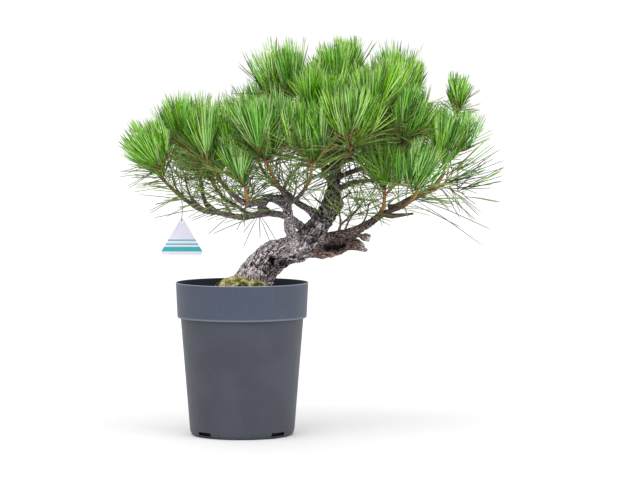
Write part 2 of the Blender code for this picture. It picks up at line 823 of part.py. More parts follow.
def build_moss(collection, helpers, material, trunk_mesh):
    """A low mound against the trunk's foot."""
    work = bmesh.new()
    bmesh.ops.create_uvsphere(work, u_segments=16, v_segments=8, radius=1)
    centre = MOUND_CENTRE + Vector((0, 0, SOIL_TOP + GAP))
    for vertex in work.verts:
        x, y, z = vertex.co
        swell = 1 + MOUND_SWELL * math.sin(MOUND_LOBES * math.atan2(y, x) + 1)
        place = Vector((x * MOUND_RADII.x * swell, y * MOUND_RADII.y * swell, z * MOUND_RADII.z))
        vertex.co = (centre + place) * MM
    bmesh.ops.bisect_plane(
        work, geom=[*work.verts, *work.edges, *work.faces], dist=1e-6,
        plane_co=centre * MM, plane_no=(0, 0, -1), clear_outer=True,
    )
    bmesh.ops.holes_fill(work, edges=[edge for edge in work.edges if edge.is_boundary])
    bmesh.ops.recalc_face_normals(work, faces=work.faces)
    mesh = bpy.data.meshes.new("moss")
    work.to_mesh(mesh)
    work.free()
    moss = add_object("moss", mesh, collection, material)
    combine(moss, [trunk_mesh], "DIFFERENCE", helpers)


def build_tag(collection, helpers, material):
    """A rounded triangle of sheet plastic with a hole near its top corner."""
    top = Vector((0, TAG_HOLE_DROP))
    foot = TAG_HOLE_DROP - TAG_HEIGHT
    corners = [top, Vector((-TAG_HALF_BASE, foot)), Vector((TAG_HALF_BASE, foot))]
    middle = (corners[0] + corners[1] + corners[2]) / 3
    outline = []
    for k, corner in enumerate(corners):
        inset = corner + (middle - corner).normalized() * TAG_CORNER * 2
        for step in range(5):
            angle = math.radians(90 + 120 * k - 60 + 30 * step)
            outline.append(inset + Vector((math.cos(angle), math.sin(angle))) * TAG_CORNER)
    curve = bpy.data.curves.new("tag", "CURVE")
    curve.dimensions = "2D"
    curve.fill_mode = "BOTH"
    curve.extrude = TAG_THICKNESS / 2 * MM
    spline = curve.splines.new("POLY")
    spline.use_cyclic_u = True
    spline.points.add(len(outline) - 1)
    for point, place in zip(spline.points, outline):
        point.co = (place.x * MM, place.y * MM, 0, 1)
    guide = add_object("guide", curve, helpers)
    guide.rotation_euler = (math.radians(90), 0, 0)
    guide.location = TAG_HOLE * MM
    tag = add_object("tag", evaluated_mesh(guide), collection, material)
    bpy.data.objects.remove(guide, do_unlink=True)
    hole = Limb([TAG_HOLE + Vector((0, side, 0)) for side in (-3, 3)], [TAG_HOLE_RADIUS] * 2)
    combine(tag, [limb_mesh(hole, CUT_SIDES)], "DIFFERENCE", helpers)


def loop_path(centre, axis, radius):
    """Points round a closed loop."""
    return [centre + across(axis, math.tau * k / LOOP_STEPS) * radius for k in range(LOOP_STEPS)]


def build_tie(collection, helpers, material, twig):
    """A thin wire with one loop round the twig and one through the tag's hole."""
    for before, after in zip(twig.path, twig.path[1:]):
        if after.x <= TAG_HOLE.x <= before.x:
            seat = before.lerp(after, (TAG_HOLE.x - before.x) / (after.x - before.x))
            axis = Vector((after.x - before.x, after.y - before.y, 0)).normalized()
    top = loop_path(seat, axis, TOP_LOOP)
    low_centre = TAG_HOLE + Vector((0, 0, LOW_LOOP - TAG_HOLE_RADIUS + TIE_RADIUS * 2))
    low = loop_path(low_centre, Vector((1, 0, 0)), LOW_LOOP)
    wire = Limb([min(top, key=lambda p: p.z), max(low, key=lambda p: p.z)], [TIE_RADIUS] * 2)
    made = add_object("tag_tie", limb_mesh(wire, 4), collection, material)
    combine(made, [ring_mesh(path) for path in (top, low)], "UNION", helpers)
    return wire


def ring_mesh(path):
    """A closed loop of wire through the points of a path."""
    curve = bpy.data.curves.new("ring", "CURVE")
    curve.dimensions = "3D"
    curve.bevel_depth = TIE_RADIUS * MM
    curve.bevel_resolution = 0
    spline = curve.splines.new("POLY")
    spline.use_cyclic_u = True
    spline.points.add(len(path) - 1)
    for point, place in zip(spline.points, path):
        point.co = (*(place * MM), 1)
    guide = add_object("guide", curve, bpy.context.scene.collection)
    mesh = evaluated_mesh(guide)
    bpy.data.objects.remove(guide, do_unlink=True)
    bpy.data.curves.remove(curve)
    return mesh


def build_limb(name, limb, sides, others, collection, helpers, material):
    """A limb, cut clear of the earlier ones that it starts in or passes close to."""
    made = add_object(name, limb_mesh(limb, sides), collection, material)
    touched = [other for other in others if near(limb, other, LIMB_STEP)]
    if touched:
        cut_clear(made, touched, helpers)


def main():
    clear_scene()
    collection = make_collection("black_pine_bonsai")
    helpers = make_collection("helpers")
    finish = {name: make_material(name) for name in MATERIALS}
    build_pot(collection, helpers, finish["pot_plastic"])
    build_soil(collection, finish["soil"])

    rng = random.Random(11)
    limbs = {"trunk": trunk_limb(rng)}
    trunk_mesh = limb_mesh(limbs["trunk"], CUT_SIDES)
    shape_trunk(trunk_mesh)
    add_object("trunk", trunk_mesh, collection, finish["bark"])
    swollen = limb_mesh(limbs["trunk"].grown(CUT_GAP), CUT_SIDES)
    shape_trunk(swollen, spare=GAP)
    build_moss(collection, helpers, finish["moss"], swollen)

    for name, shape in BOUGHS.items():
        limbs[name] = grow_limb(*shape, rng)
        others = [limb for other, limb in limbs.items() if other != name]
        build_limb(name, limbs[name], BOUGH_SIDES, others, collection, helpers, finish["bark"])

    leans = {name: Vector(row[3]).normalized() for name, row in BRANCHES.items()}
    feet = {name: Vector(row[0][-1]) for name, row in BRANCHES.items()}
    leans["top"] = TOP_LEAN.normalized()
    feet["top"] = limbs["trunk"].path[-1]
    centres = {name: feet[name] + leans[name] * BRUSH_CENTRE for name in feet}
    spaces = {name: Space(name, centres, BRUSH_REACH) for name in centres}

    stems, carriers = {}, {}
    for name, (points, root, *_) in BRANCHES.items():
        whole = grow_limb(points, root, BRANCH_TIP_RADIUS, 1, rng)
        if name in ON_TRUNK:
            stems[name] = whole
            carriers[name] = limbs["trunk"]
            continue
        split = max(enters_at(whole.path, spaces[name]), round(LEAST_BOUGH_SHARE * len(whole.path)))
        split = min(split, len(whole.path) - 2)
        bough = whole.piece(0, split + 1)
        stem = whole.piece(split, len(whole.path))
        stem.path[0] = bough.path[-1].lerp(bough.path[-2], STEM_OVERRUN / LIMB_STEP)
        others = list(limbs.values())
        limbs[name + "_bough"] = bough
        build_limb(name + "_bough", bough, BRANCH_SIDES, others, collection, helpers, finish["bark"])
        stems[name] = stem
        carriers[name] = bough
    loop = grow_limb(*LOOP_BOUGH, rng)
    build_limb("loop_bough", loop, BOUGH_SIDES, list(limbs.values()), collection, helpers, finish["bark"])
    limbs["loop_bough"] = loop
    tip, below = limbs["trunk"].path[-1], limbs["trunk"].path[-2]
    top_path = [tip.lerp(below, STEM_OVERRUN / TRUNK_STEP), tip + leans["top"] * TOP_STEM]
    stems["top"] = Limb(top_path, [limbs["trunk"].radii[-1] - GAP, BRANCH_TIP_RADIUS])
    carriers["top"] = limbs["trunk"]

    stub = build_stub(collection, helpers, finish["dead_wood"], list(limbs.values()))
    build_tag(collection, helpers, finish["tag_plastic"])
    tie = build_tie(collection, helpers, finish["tie"], limbs["left_tip_bough"])

    solid = [*limbs.values(), stub, tie]
    for name, stem in stems.items():
        others = Capsules([*solid, *(other for key, other in stems.items() if key != name)])
        rng = random.Random("needles of " + name)
        way = (stem.path[-1] - stem.path[-2]).normalized()
        _, _, count, _, length = BRANCHES.get(name, (None, None, TOP_SHOOTS, None, TOP_NEEDLES))
        shoots = grow_shoots(stem.path[-1], way, leans[name], count, spaces[name], others, rng)
        blades = grow_blades(shoots, spaces[name], others, rng, length)
        mass = join_mass(name + "_needles", stem, shoots, blades, collection, finish["needles"])
        cut_clear(mass, [carriers[name]], helpers)


main()
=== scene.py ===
"""Looks of a Japanese black pine bonsai in its grower's pot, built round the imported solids.

Metres, +Z up, in the frame of the solids. Sizes in the tables are in millimetres and are scaled by MM.
The limbs and shoots grow by the same rule and seeds as the solids, and are carried on to finer twigs.
"""

import math
import random

import bmesh
import bpy
import numpy as np
from mathutils import Matrix, Vector, noise


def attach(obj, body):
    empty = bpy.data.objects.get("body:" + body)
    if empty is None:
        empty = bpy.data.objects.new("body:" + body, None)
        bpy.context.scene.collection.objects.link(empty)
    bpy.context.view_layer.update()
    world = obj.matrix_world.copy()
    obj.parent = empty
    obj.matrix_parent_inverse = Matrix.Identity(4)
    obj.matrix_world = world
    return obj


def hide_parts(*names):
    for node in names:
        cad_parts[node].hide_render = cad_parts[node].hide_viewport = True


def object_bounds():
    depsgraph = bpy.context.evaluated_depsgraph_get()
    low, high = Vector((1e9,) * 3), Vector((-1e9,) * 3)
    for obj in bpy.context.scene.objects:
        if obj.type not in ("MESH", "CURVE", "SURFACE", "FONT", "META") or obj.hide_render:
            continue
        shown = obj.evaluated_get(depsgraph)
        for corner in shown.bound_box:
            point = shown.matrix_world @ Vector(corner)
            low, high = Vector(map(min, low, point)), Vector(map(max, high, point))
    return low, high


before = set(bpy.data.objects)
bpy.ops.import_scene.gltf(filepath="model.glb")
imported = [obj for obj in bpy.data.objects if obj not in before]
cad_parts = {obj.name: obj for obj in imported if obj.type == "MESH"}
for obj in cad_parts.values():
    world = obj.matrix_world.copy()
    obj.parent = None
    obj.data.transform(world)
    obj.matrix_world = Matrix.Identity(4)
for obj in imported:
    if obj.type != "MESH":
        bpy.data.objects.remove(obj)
SOLID_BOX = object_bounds()

bl_info = {
    "name": "Black pine bonsai",
    "version": (1, 0, 0),
    "blender": (4, 5, 0),
    "location": "View3D > Sidebar > Bonsai",
    "description": "Builds a black pine bonsai in a plastic pot, with its studio",
    "category": "Object",
}

MM = 0.001
GAP = 0.3  # between pieces that touch, as in the solids
BODY = "root"
GOLDEN_TURN = math.radians(137.5)

# Trunk: points up its middle, each with its radius
TRUNK = (
    (10, 0, 212.3, 28), (10, 0, 221, 26.5), (17, 0, 235, 24.8), (29, 0, 251, 24),
    (47, -2, 268, 22.5), (66, -4, 276, 21), (87, -5, 284, 20.5), (104, -3, 301, 17),
    (121, 0, 322, 14), (131, 4, 338, 12.6), (134, 8, 355, 10.2), (138, 10, 377, 8.8),
    (140, 10, 404, 7.6), (146, 6, 436, 6.4), (143, 0, 464, 5.4), (148, -4, 486, 4.5),
    (150, -6, 502, 3.6),
)
TRUNK_STEP = 14.0
BARK_SWELL = 0.05
ROOT_LOBES = 5
ROOT_SWELL = 0.16
ROOT_TURN = 0.8
ROOT_HEIGHT = 22.0

# Boughs that carry others: points, radius at the root and at the tip, and how late the bough thins
BOUGHS = {
    "front_bough": (((82, -8, 288), (73, -24, 311), (69, -34, 333), (66, -43, 354)), 8.8, 6.2, 1),
    "arch_bough": (((66, -45, 352), (46, -52, 358), (32, -54, 355), (17, -54, 349), (7, -53, 349)),
                   6.5, 4.2, 1),
    "lower_left_bough": (((97, 4, 305), (80, 12, 320), (62, 14, 330), (39, 10, 334), (21, 6, 330),
                          (2, 2, 327), (-16, 0, 329), (-34, -2, 334), (-54, -2, 336), (-66, -4, 341)),
                         6.0, 3.2, 1),
    "right_bough": (((118, -4, 296), (145, -14, 301), (160, -20, 306), (176, -24, 312), (193, -28, 321),
                     (210, -30, 333), (223, -36, 332), (238, -42, 333), (256, -46, 335)), 7.0, 1.3, 2.2),
    "right_high_bough": (((143, 8, 419), (172, 0, 432), (202, -8, 453)), 5.0, 3.6, 1),
}
# A limb that closes the loop between two of them: points, radii and taper as above
LOOP_BOUGH = (((34, 8, 335), (29, -23, 344), (36, -52, 355)), 6.0, 5.6, 1)
# Branches: points as far as the foot of the brush, radius at the root, number of shoots, where the
# brush leans, needle length, and how often its sprays are bright, mid, blue and deep green
BRANCHES = {
    "left_tip": (
        ((-64, -4, 341), (-79, -7, 350), (-104, -10, 370), (-126, -12, 393)),
        3.0, 3, (-0.58, -0.05, 0.82), 68, (6, 3, 1, 1)),
    "upper_left": (
        ((-47, -2, 336), (-57, 6, 355), (-60, 6, 376), (-65, 4, 391), (-81, 0, 432)),
        3.0, 4, (-0.1, 0, 0.99), 64, (5, 4, 1, 1)),
    "left_shoulder": (
        ((6, -53, 350), (-8, -50, 360), (-22, -42, 374), (-33, -37, 386), (-45, -32, 410)),
        3.4, 4, (0.04, -0.05, 1), 80, (5, 4, 1, 2)),
    "low_left": (
        ((12, -54, 350), (8, -62, 364), (4, -64, 386)),
        2.8, 3, (-0.05, -0.35, 0.94), 62, (3, 4, 3, 2)),
    "front_left": (
        ((69, -42, 352), (62, -58, 367), (53, -70, 381), (46, -77, 393), (35, -86, 418)),
        3.4, 4, (-0.16, -0.16, 0.97), 84, (1, 3, 6, 1)),
    "front_mid": (
        ((70, -41, 350), (86, -55, 361), (99, -66, 377), (104, -74, 390), (104, -84, 410)),
        3.2, 4, (0, -0.14, 0.99), 82, (3, 4, 3, 1)),
    "left_high": (
        ((139, 10, 392), (98, 26, 423), (68, 36, 445), (48, 34, 461)),
        4.6, 4, (-0.22, 0.08, 0.96), 66, (1, 3, 5, 2)),
    "top_left": (
        ((142, 10, 409), (115, 2, 435), (94, -4, 462), (77, -6, 488), (65, -6, 508)),
        4.4, 4, (-0.2, 0, 0.98), 66, (4, 4, 3, 1)),
    "upper_centre": (
        ((145, 2, 455), (130, -26, 462), (117, -38, 469), (107, -42, 480)),
        3.4, 4, (-0.05, -0.3, 0.95), 66, (6, 4, 1, 1)),
    "front_centre": (
        ((140, 10, 399), (145, -35, 410), (156, -70, 421), (163, -96, 434)),
        4.2, 4, (0.04, -0.26, 0.96), 80, (6, 4, 1, 1)),
    "front_right": (
        ((146, 6, 440), (166, -30, 446), (186, -58, 456), (200, -74, 468)),
        3.8, 4, (0.18, -0.22, 0.96), 78, (4, 4, 3, 1)),
    "right_mid": (
        ((140, 10, 386), (168, -25, 398), (196, -54, 410), (222, -68, 424), (242, -72, 440)),
        4.0, 4, (0.1, -0.14, 0.98), 78, (2, 4, 4, 1)),
    "top_right": (
        ((202, -8, 453), (226, -12, 464), (240, -14, 480)),
        3.4, 4, (0.08, -0.02, 1), 78, (5, 4, 2, 1)),
    "right_top": (
        ((197, -6, 449), (246, 6, 456), (286, 16, 464), (312, 20, 473), (328, 22, 487)),
        3.4, 2, (0.12, 0.05, 0.99), 40, (5, 3, 1, 1)),
    "right_outer": (
        ((220, -32, 342), (233, -34, 347), (250, -38, 356), (268, -42, 366), (287, -46, 377),
         (300, -48, 394), (302, -48, 414)),
        3.9, 4, (0.14, -0.05, 0.98), 66, (1, 3, 6, 1)),
    "far_right": (
        ((221, -31, 343), (246, -14, 350), (274, 2, 361), (306, 12, 378)),
        3.4, 3, (0.92, 0.05, 0.3), 82, (1, 3, 6, 1)),
    "lower_right": (
        ((206, -30, 331), (212, -44, 348), (213, -56, 370)),
        3.0, 3, (-0.05, -0.25, 0.96), 70, (4, 4, 2, 1)),
    "right_low": (
        ((214, -31, 336), (236, -54, 344), (252, -74, 356), (262, -86, 373)),
        3.0, 3, (0.3, -0.45, 0.8), 66, (1, 3, 5, 2)),
    "upper_right": (
        ((138, 10, 366), (156, 42, 374), (178, 64, 379), (202, 77, 382), (224, 84, 386)),
        4.8, 4, (0.28, 0.3, 0.9), 76, (2, 3, 4, 3)),
    "right_back": (
        ((170, 0, 431), (202, 34, 424), (228, 58, 420), (248, 72, 427)),
        3.2, 4, (0.14, 0.32, 0.93), 70, (2, 4, 3, 3)),
    "back_right": (
        ((140, 10, 405), (162, 50, 413), (186, 88, 424), (206, 112, 438)),
        3.8, 4, (0.16, 0.3, 0.94), 76, (3, 4, 2, 3)),
    "back_low": (
        ((138, 10, 376), (134, 55, 380), (126, 98, 388), (120, 128, 402)),
        4.4, 4, (-0.04, 0.42, 0.9), 76, (3, 4, 2, 3)),
    "back_high": (
        ((146, 6, 443), (138, 42, 450), (128, 76, 460), (122, 94, 470)),
        3.6, 4, (-0.02, 0.24, 0.97), 76, (3, 4, 2, 2)),
    "back_left": (
        ((112, 2, 331), (95, 16, 342), (80, 34, 351), (60, 60, 366), (40, 84, 382), (26, 104, 402),
         (20, 114, 422)),
        5.4, 4, (-0.16, 0.28, 0.94), 76, (3, 4, 2, 3)),
    "back_low_left": (
        ((12, 4, 330), (-8, 34, 342), (-34, 60, 360), (-52, 70, 386)),
        3.0, 4, (-0.3, 0.28, 0.9), 76, (3, 4, 2, 3)),
}
ON_TRUNK = ("upper_centre", "front_centre", "front_right", "back_high", "back_right")
# The brush at the trunk's tip: number of shoots, lean, needle length and greens
TOP_BRUSH = (4, (-0.04, -0.02, 1.0), 68, (6, 4, 1, 1))
# Masses with fewer needles than the rest, and the share of young and of old ones that they have
SPARSE = {
    "far_right": (0.06, 0.1), "top_left": (0.55, 0.8), "right_low": (0.4, 0.4), "right_outer": (0.65, 0.5),
    "upper_left": (0.85, 1), "low_left": (0.8, 1), "left_high": (0.55, 1), "lower_right": (0.7, 0.8),
    "upper_right": (0.7, 0.8), "back_low_left": (0.6, 1),
}
NEARLY_BARE = 0.2  # a mass with less than this share of young needles is nearly bare in the photo
TOP_STEM = 10.0
LEAST_BOUGH_SHARE = 0.5
BRANCH_TIP_RADIUS = 2.0
ROOT_COLLAR = 0.35
COLLAR_LENGTH = 9.0
LIMB_STEP = 19.0
STEM_OVERRUN = 1.5
KINK = 1.1
# Shoots: how they fork from the end of a stem
LEADER_LENGTH = 12.0
SHOOT_LENGTH = 36.0
SHOOT_SPREAD = 0.65
SHOOT_LIFT = 0.35
SHOOT_DROPS = (2.0, 14.0)
SHOOT_SPAN = (0.8, 1.15)
SHOOT_TRIES = 12
CLEAR_START = 0.3
BRUSH_CENTRE = 30.0
BRUSH_REACH = 94.0
KEEP_APART = 1.6
KEEP_OFF_LIMB = 1.6
PLACES_CHECKED = 13  # along a shoot, for how far it is from the limbs
ODD_WAY = (0.31, 0.95, 0.05)  # a direction that no limb or needle follows
SEAM_SIDE = Vector(ODD_WAY)
SHOOT_ROOT, SHOOT_TIP = 1.9, 1.6
TWIG_ROOT, TWIG_TIP = 1.5, 1.25
SLIM, SLIMMEST = 0.75, 0.5  # thickness as a share of the solids', and in masses with few needles
SHOOT_BEND = 1.2
BUD_RINGS = ((1.5, 1.25), (3.5, 1.0))  # how far past the shoot and how thick
BUD_LENGTH, BUD_POINT = 5.0, 0.25
TWIG_COUNT = 2
TWIG_LENGTH = 22.0
TWIG_LEAN = 0.4  # how far a finer shoot leans with its mass
LOOSE_MARGIN = -14.0  # how far needles may reach past the middle between two masses

# Needles
SHORTEST_NEEDLE = 0.78
NEEDLES_IN_PIECE = 12000
YOUNG_OPENING = (31.0, 4.0)  # how wide needles open at the low end of a brush and at its tip, in degrees
OLD_OPENING = (88.0, 28.0)
YOUNG_SIZES = (SHORTEST_NEEDLE, 1.0)
OLD_SIZES = (0.7, 1.0)
BRANCH_SIZES = (0.65, 1.0)
YOUNG_RISE, OLD_RISE, BRANCH_RISE = 0.04, -0.06, -0.08
YOUNG_TO_OLD = 6  # pairs of young needles for each old one on a shoot
NEEDLE_RINGS = ((0.0, 0.62), (0.42, 1.0), (0.9, 0.78))  # how far along a needle and how thick
TRIED_SIZES = (1.0, 0.9, 0.8)
CHECKED_SHARES = (0.3, 0.5, 0.7, 0.85, 1)
KEEP_OFF_WOOD = 0.8
POINTS_IN_NEEDLE = 10
NEEDLE_ROLL = 40
OPENING_CURVE = 0.8
OPENING_SPREAD, TURN_SPREAD = 5, 0.25  # in degrees and in radians
LIFT = 2  # how much more a needle aims up than its bend rises
SPOKE = 1.0  # from the middle of a shoot to the needle's root
PAIR_BEND = -0.35
PAIR_SHADE = 0.08  # how much two needles of a pair differ
WHISKER_SAG = -0.09
# The darkest old needle as a share of its colour, a painted shade
OLD_DARKEST = 0.5
YOUNG_LIMITS = (LOOSE_MARGIN, BRUSH_REACH)
OLD_LIMITS = (-45.0, 112.0)
UPRIGHT_SHARE = 0.7  # how far a brush leans with its mass and not with its own shoot
OLD_UPRIGHT_SHARE = 0.3
BARE_PART = 4  # the first quarter of a branch has no needles
BRUSH_DEPTH = 30.0
OLD_SPACING = 3.2
TWIG_SPACING = 2.2
NEEDLE_SWAY = 0.025
PAIR_GAPE = (2.5, 7.0)
OVER_BOX = 4.0  # how far over the solids' box a needle may reach

# Open spots between the brushes, where no needle ends: ranges of x and of z, in mm
OPEN_SPOTS = (
    (274, 308, 500, 600), (300, 362, 543, 600), (180, 197, 569, 620),
    (-146, -126, 484, 530), (360, 410, 470, 530), (94, 108, 560, 620),
)
SPOT_FRAY = 16.0  # how ragged their edges are
DARK_SHARE = 0.5  # of the sprays in nearly bare masses
GREENS = ("bright", "mid", "blue", "deep")
OLD, LONG = 4, 5  # beds after the four greens

# Pot, soil, moss and tag
RIM_RADIUS = 100.0
POT_HEIGHT = 230.0
BAND_HEIGHT = 53.0
BAND_FOOT = POT_HEIGHT - BAND_HEIGHT
BAND_FOOT_RADIUS = 97.4
BODY_TOP_RADIUS = 92.3
BODY_FOOT_RADIUS = 79.0
FOOT_RADIUS = 73.5
FOOT_CORNER = 10.0
WALL = 2.2
FLOOR = 4.0
LEDGE_HEIGHT = 2.6
CORNER_REACH = 0.55  # how far from each corner its curve starts
INNER_LEDGE = (1.0, 4.5)
HEEL = ((0.8, 4.5), (2.6, 8.0))
SLOT_COUNT = 4
FIRST_SLOT = 45  # degrees
SLOT_WIDTH, SLOT_HEIGHT, SLOT_REACH = 26.0, 5.0, 60.0
ARCH_WIDTH, ARCH_HEIGHT, ARCH_REACH = 36.0, 2.0, 62.0
CUTTER_REACH = 95.0
SOIL_TOP = 212.0
FOOT_SINK = 1.5
FLAT_END = 0.8  # of the trunk, in the soil

# Long single needles that stand clear of the crown: where each starts and ends
WHISKERS = (
    ((24, 2, 329), (-46, -20, 302)), ((24, 2, 329), (2, -25, 282)), ((22, 2, 329), (1, -22, 304)),
    ((2, -2, 326), (-8, -14, 308)), ((26, 2, 329), (28, -30, 296)), ((26, 2, 329), (44, -32, 289)),
    ((28, 3, 329), (52, -34, 294)), ((-18, 0, 330), (-52, -16, 301)), ((-60, -3, 340), (-135, -14, 326)),
    ((-78, -7, 352), (-156, -10, 362)), ((288, 8, 368), (393, -4, 432)), ((292, 9, 370), (400, 2, 415)),
    ((296, 10, 372), (400, 10, 402)), ((280, 4, 364), (370, 16, 386)), ((308, 12, 382), (372, 4, 387)),
    ((308, 12, 380), (365, 20, 374)), ((306, 12, 380), (356, -6, 362)), ((304, 12, 378), (356, 4, 333)),
    ((300, 10, 376), (348, -10, 321)), ((298, 10, 376), (330, 6, 322)), ((296, 10, 374), (318, -8, 345)),
    ((262, -6, 356), (378, -16, 307)), ((258, -8, 355), (364, -24, 283)), ((250, -20, 350), (330, -30, 312)),
)
# Fine grey twigs: the mass that their old needles go with, and points with a radius at each
GREY_TWIGS = (
    ("lower_right", ((144, -15, 300, 2.2), (148, -19, 316, 1.7), (158, -24, 326, 1.3), (169, -28, 338, 0.8))),
    ("lower_right", ((148, -19, 316, 1.6), (147, -24, 331, 1.2), (143, -28, 345, 0.7))),
    ("left_tip", ((-52, -2, 336, 2.2), (-66, -14, 348, 1.6), (-80, -20, 364, 0.9))),
    ("left_tip", ((-34, -2, 334, 2.0), (-44, -16, 344, 1.5), (-60, -24, 358, 0.8))),
    ("left_shoulder", ((-14, 0, 328, 2.0), (-20, -14, 340, 1.5), (-30, -22, 352, 0.8))),
    ("low_left", ((6, 2, 326, 2.0), (4, -14, 338, 1.5), (10, -26, 352, 0.9), (20, -34, 366, 0.7))),
    ("front_left", ((68, -38, 345, 2.2), (62, -50, 362, 1.6), (66, -56, 382, 0.9))),
    ("front_mid", ((69, -38, 345, 2.0), (80, -46, 366, 1.5), (82, -52, 386, 0.8))),
    ("front_mid", ((128, 2, 346, 2.0), (118, -14, 350, 1.5), (108, -24, 358, 0.8))),
    ("lower_right", ((138, 6, 352, 2.0), (150, -14, 356, 1.6), (164, -24, 366, 0.9))),
    ("lower_right", ((152, -18, 303, 1.6), (162, -26, 326, 1.2), (178, -30, 346, 0.8))),
    ("lower_right", ((176, -24, 312, 1.6), (186, -32, 330, 1.2), (190, -36, 350, 0.8))),
    ("upper_left", ((-70, -6, 344, 2.0), (-80, -14, 368, 1.5), (-86, -18, 392, 0.9))),
    ("left_tip", ((-88, -8, 357, 1.8), (-100, -16, 376, 1.3), (-104, -20, 396, 0.8))),
)
# Green needles that reach out sideways under the crown: where each starts and ends
SIDE_NEEDLES = (
    ((24, -8, 334), (-42, -22, 324)), ((24, -8, 335), (-48, -16, 335)), ((24, -10, 336), (-38, -28, 347)),
    ((22, -8, 333), (-30, -12, 318)), ((22, -10, 335), (-44, -26, 341)), ((26, -10, 336), (-20, -32, 357)),
    ((28, -10, 335), (80, -30, 346)), ((152, -24, 348), (196, -34, 346)),
    ((154, -24, 350), (206, -36, 356)), ((266, -18, 354), (338, -34, 350)),
    ((264, -18, 354), (328, -30, 358)), ((266, -18, 353), (318, -26, 343)),
    ((262, -18, 354), (306, -36, 362)), ((264, -16, 352), (312, -20, 348)),
    ((268, -18, 354), (340, -26, 356)),
)
# Swellings and hollows of the trunk: place, reach and height. The hollows are painted dark as shade.
KNOTS = (
    (149, 0, 350, 12, 8.5), (131, 20, 345, 12, 3), (45, -24, 263, 7, -9), (46, -22, 256, 5, -5),
    (62, -17, 259, 8, -2.6), (72, -15, 262, 7, -1.8), (42, -24, 251, 4, -3.5), (38, -25, 244, 4, -3.5),
    (35, -25, 236, 4, -3.5), (32, -26, 228, 4, -3.5), (58, -20, 258, 8, -1.4), (52, -20, 249, 8, -1.7),
    (47, -20, 240, 8, -1.7), (42, -22, 231, 7, -1.7), (86, -24, 281, 14, 4), (68, -24, 278, 6, -1.2),
    (30, -22, 259, 4, -1.5), (22, -24, 255, 4, -1.5), (62, 18, 271, 12, 3), (27, 22, 243, 10, 3),
    (105, 16, 298, 10, 3), (116, -14, 318, 9, 3), (-12, 6, 226, 9, 4), (12, 30, 224, 9, 4),
    (36, 16, 224, 8, 3),
)
HOLLOW_GAIN, HOLLOW_START, FULL_HOLLOW = 3.6, 1.1, 3  # how dark the painted shade in a hollow is, from its edge inwards

# Where colours change on the wood, in metres
FOOT_TINGE = (0.262, 0.222)  # height
# Where the wood turns greyer and darker, partly as painted shade under the crown
TRUNK_HIGH = ("along", 0.085, 0.13)
BOUGH_HIGH = ("height", 0.325, 0.355)
RIGHT_BOUGH = (0.112, 0.135)  # x
TWIG_GIRTH = (0.0046, 0.0034)  # radius where wood takes the twigs' colour
THIN_GIRTH = (0.0012, 0.006)  # radius where cracks grow dark with painted shade
TORN_HEIGHT = (0.275, 0.270)
TORN_ENDS = ((0.152, 0.14), (0.117, 0.128))  # x
STUB_END = (0.172, 0.186)  # x

# Moss, fallen needles and tag
MOUND_CENTRE = Vector((1, -9, 0))
MOUND_RADII = Vector((44, 43, 25))
MOUND_SUNK = 2.0
MOUND_LOBES = 5
MOUND_SWELL = 0.06
MOUND_SIDES, MOUND_RINGS = 96, 34
STRAW_NEAR = 0.45  # share of the fallen needles that lie round the mound
STRAW_SPREADS = (40.0, 88.0)
STRAW_HALF_LENGTHS = (5, 17)
STRAW_THICKNESS = 0.0013
STRAW_FOOT, STRAW_CREST = 1.9, 2.4  # over the ground, at a straw's ends and in its middle
STRAW_SAG = 6
SOIL_LUMPS = ((0.09, 1.6), (0.4, 0.7))  # noise scales, each with its height
MOUND_LUMPS = ((0.11, 1.8), (0.3, 0.8))
LUMP_REACH = 40  # how far from the mound's middle a lump has its full height
SCUFF_SCALES = (420.0, 420.0, 14.0)
POT_STEPS, SOIL_STEPS = 160, 120  # steps round
POT_SHARP, GROUND_SHARP = 38, 60  # degrees over which an edge stays sharp
SOIL_RINGS = 40
SOIL_GAP = 2 * GAP  # between the soil and the wall
TAG_HOLE = Vector((-90, -9, 321))
TAG_HOLE_RADIUS = 2.4
TIE_RADIUS, TOP_LOOP, LOW_LOOP = 0.55, 5.2, 4.0
LOOP_STEPS = 40
TAG_STRIPES = ((0.2765, 0.2835), (0.2865, 0.2885), (0.2925, 0.2945))  # heights in metres

# Camera
CAMERA_PLACE = (106.0, -4000.0, 500.0)
CAMERA_TARGET = (106.0, 0.0, 295.5)
PIXEL_SIZE = 1.504  # of the photo at the pot's middle, in millimetres
PHOTO_WIDTH = 625
SENSOR_WIDTH = 36.0
# Lights: name, spread in degrees and the way that each shines
LIGHTS = (("key", 70, (0.35, 0.75, -1.0)), ("side", 60, (-0.9, 0.5, -0.6)), ("back", 80, (0.2, -0.9, -0.7)))
FLOOR_SIZE = 40  # metres
TREE_SEED, WHISKER_SEED, STRAW_SEED = 11, 5, 21

# Dead stub: points with a radius at each, of the limb, of the torn strip over it and of its splinters,
# and its swellings and hollows as above
STUB = ((92, 2, 279, 12.5), (110, 2, 279, 12.5), (128, 4, 280, 12.2), (143, 7, 281, 11.2),
        (157, 8, 287, 9.2), (171, 8, 286, 8.2), (183, 7, 280, 5.4))
STUB_LINK = ((162, 7, 292, 4.6), (169, 6, 299, 4.0), (177, 5, 300, 2.9), (182, 4, 297.5, 4.6),
             (187, 4, 297, 6.4), (192, 4, 295.5, 4.8))
# The stub's hollows are painted dark as shade, in the gap between it and the right bough
STUB_HOLLOWS = ((130, -8, 282, 10, -7), (142, -5, 282, 10, -7), (152, -2, 285, 6, -4),
                (164, 0, 284, 3, -2), (120, 2, 267, 7, 2.5), (134, 2, 268, 6, 2))
STUB_TINES = (((178, 7, 283, 4.6), (185, 6, 278, 3.4), (188, 5, 280, 1.8)),
              ((170, 5, 300, 2.2), (175, 4, 305, 1.5), (178, 4, 307, 0.7)))


def both_ways(operation):
    """The method of an operator and that of its reflected form."""
    return (lambda self, other: self.nodes.maths(operation, self, other),
            lambda self, other: self.nodes.maths(operation, other, self))


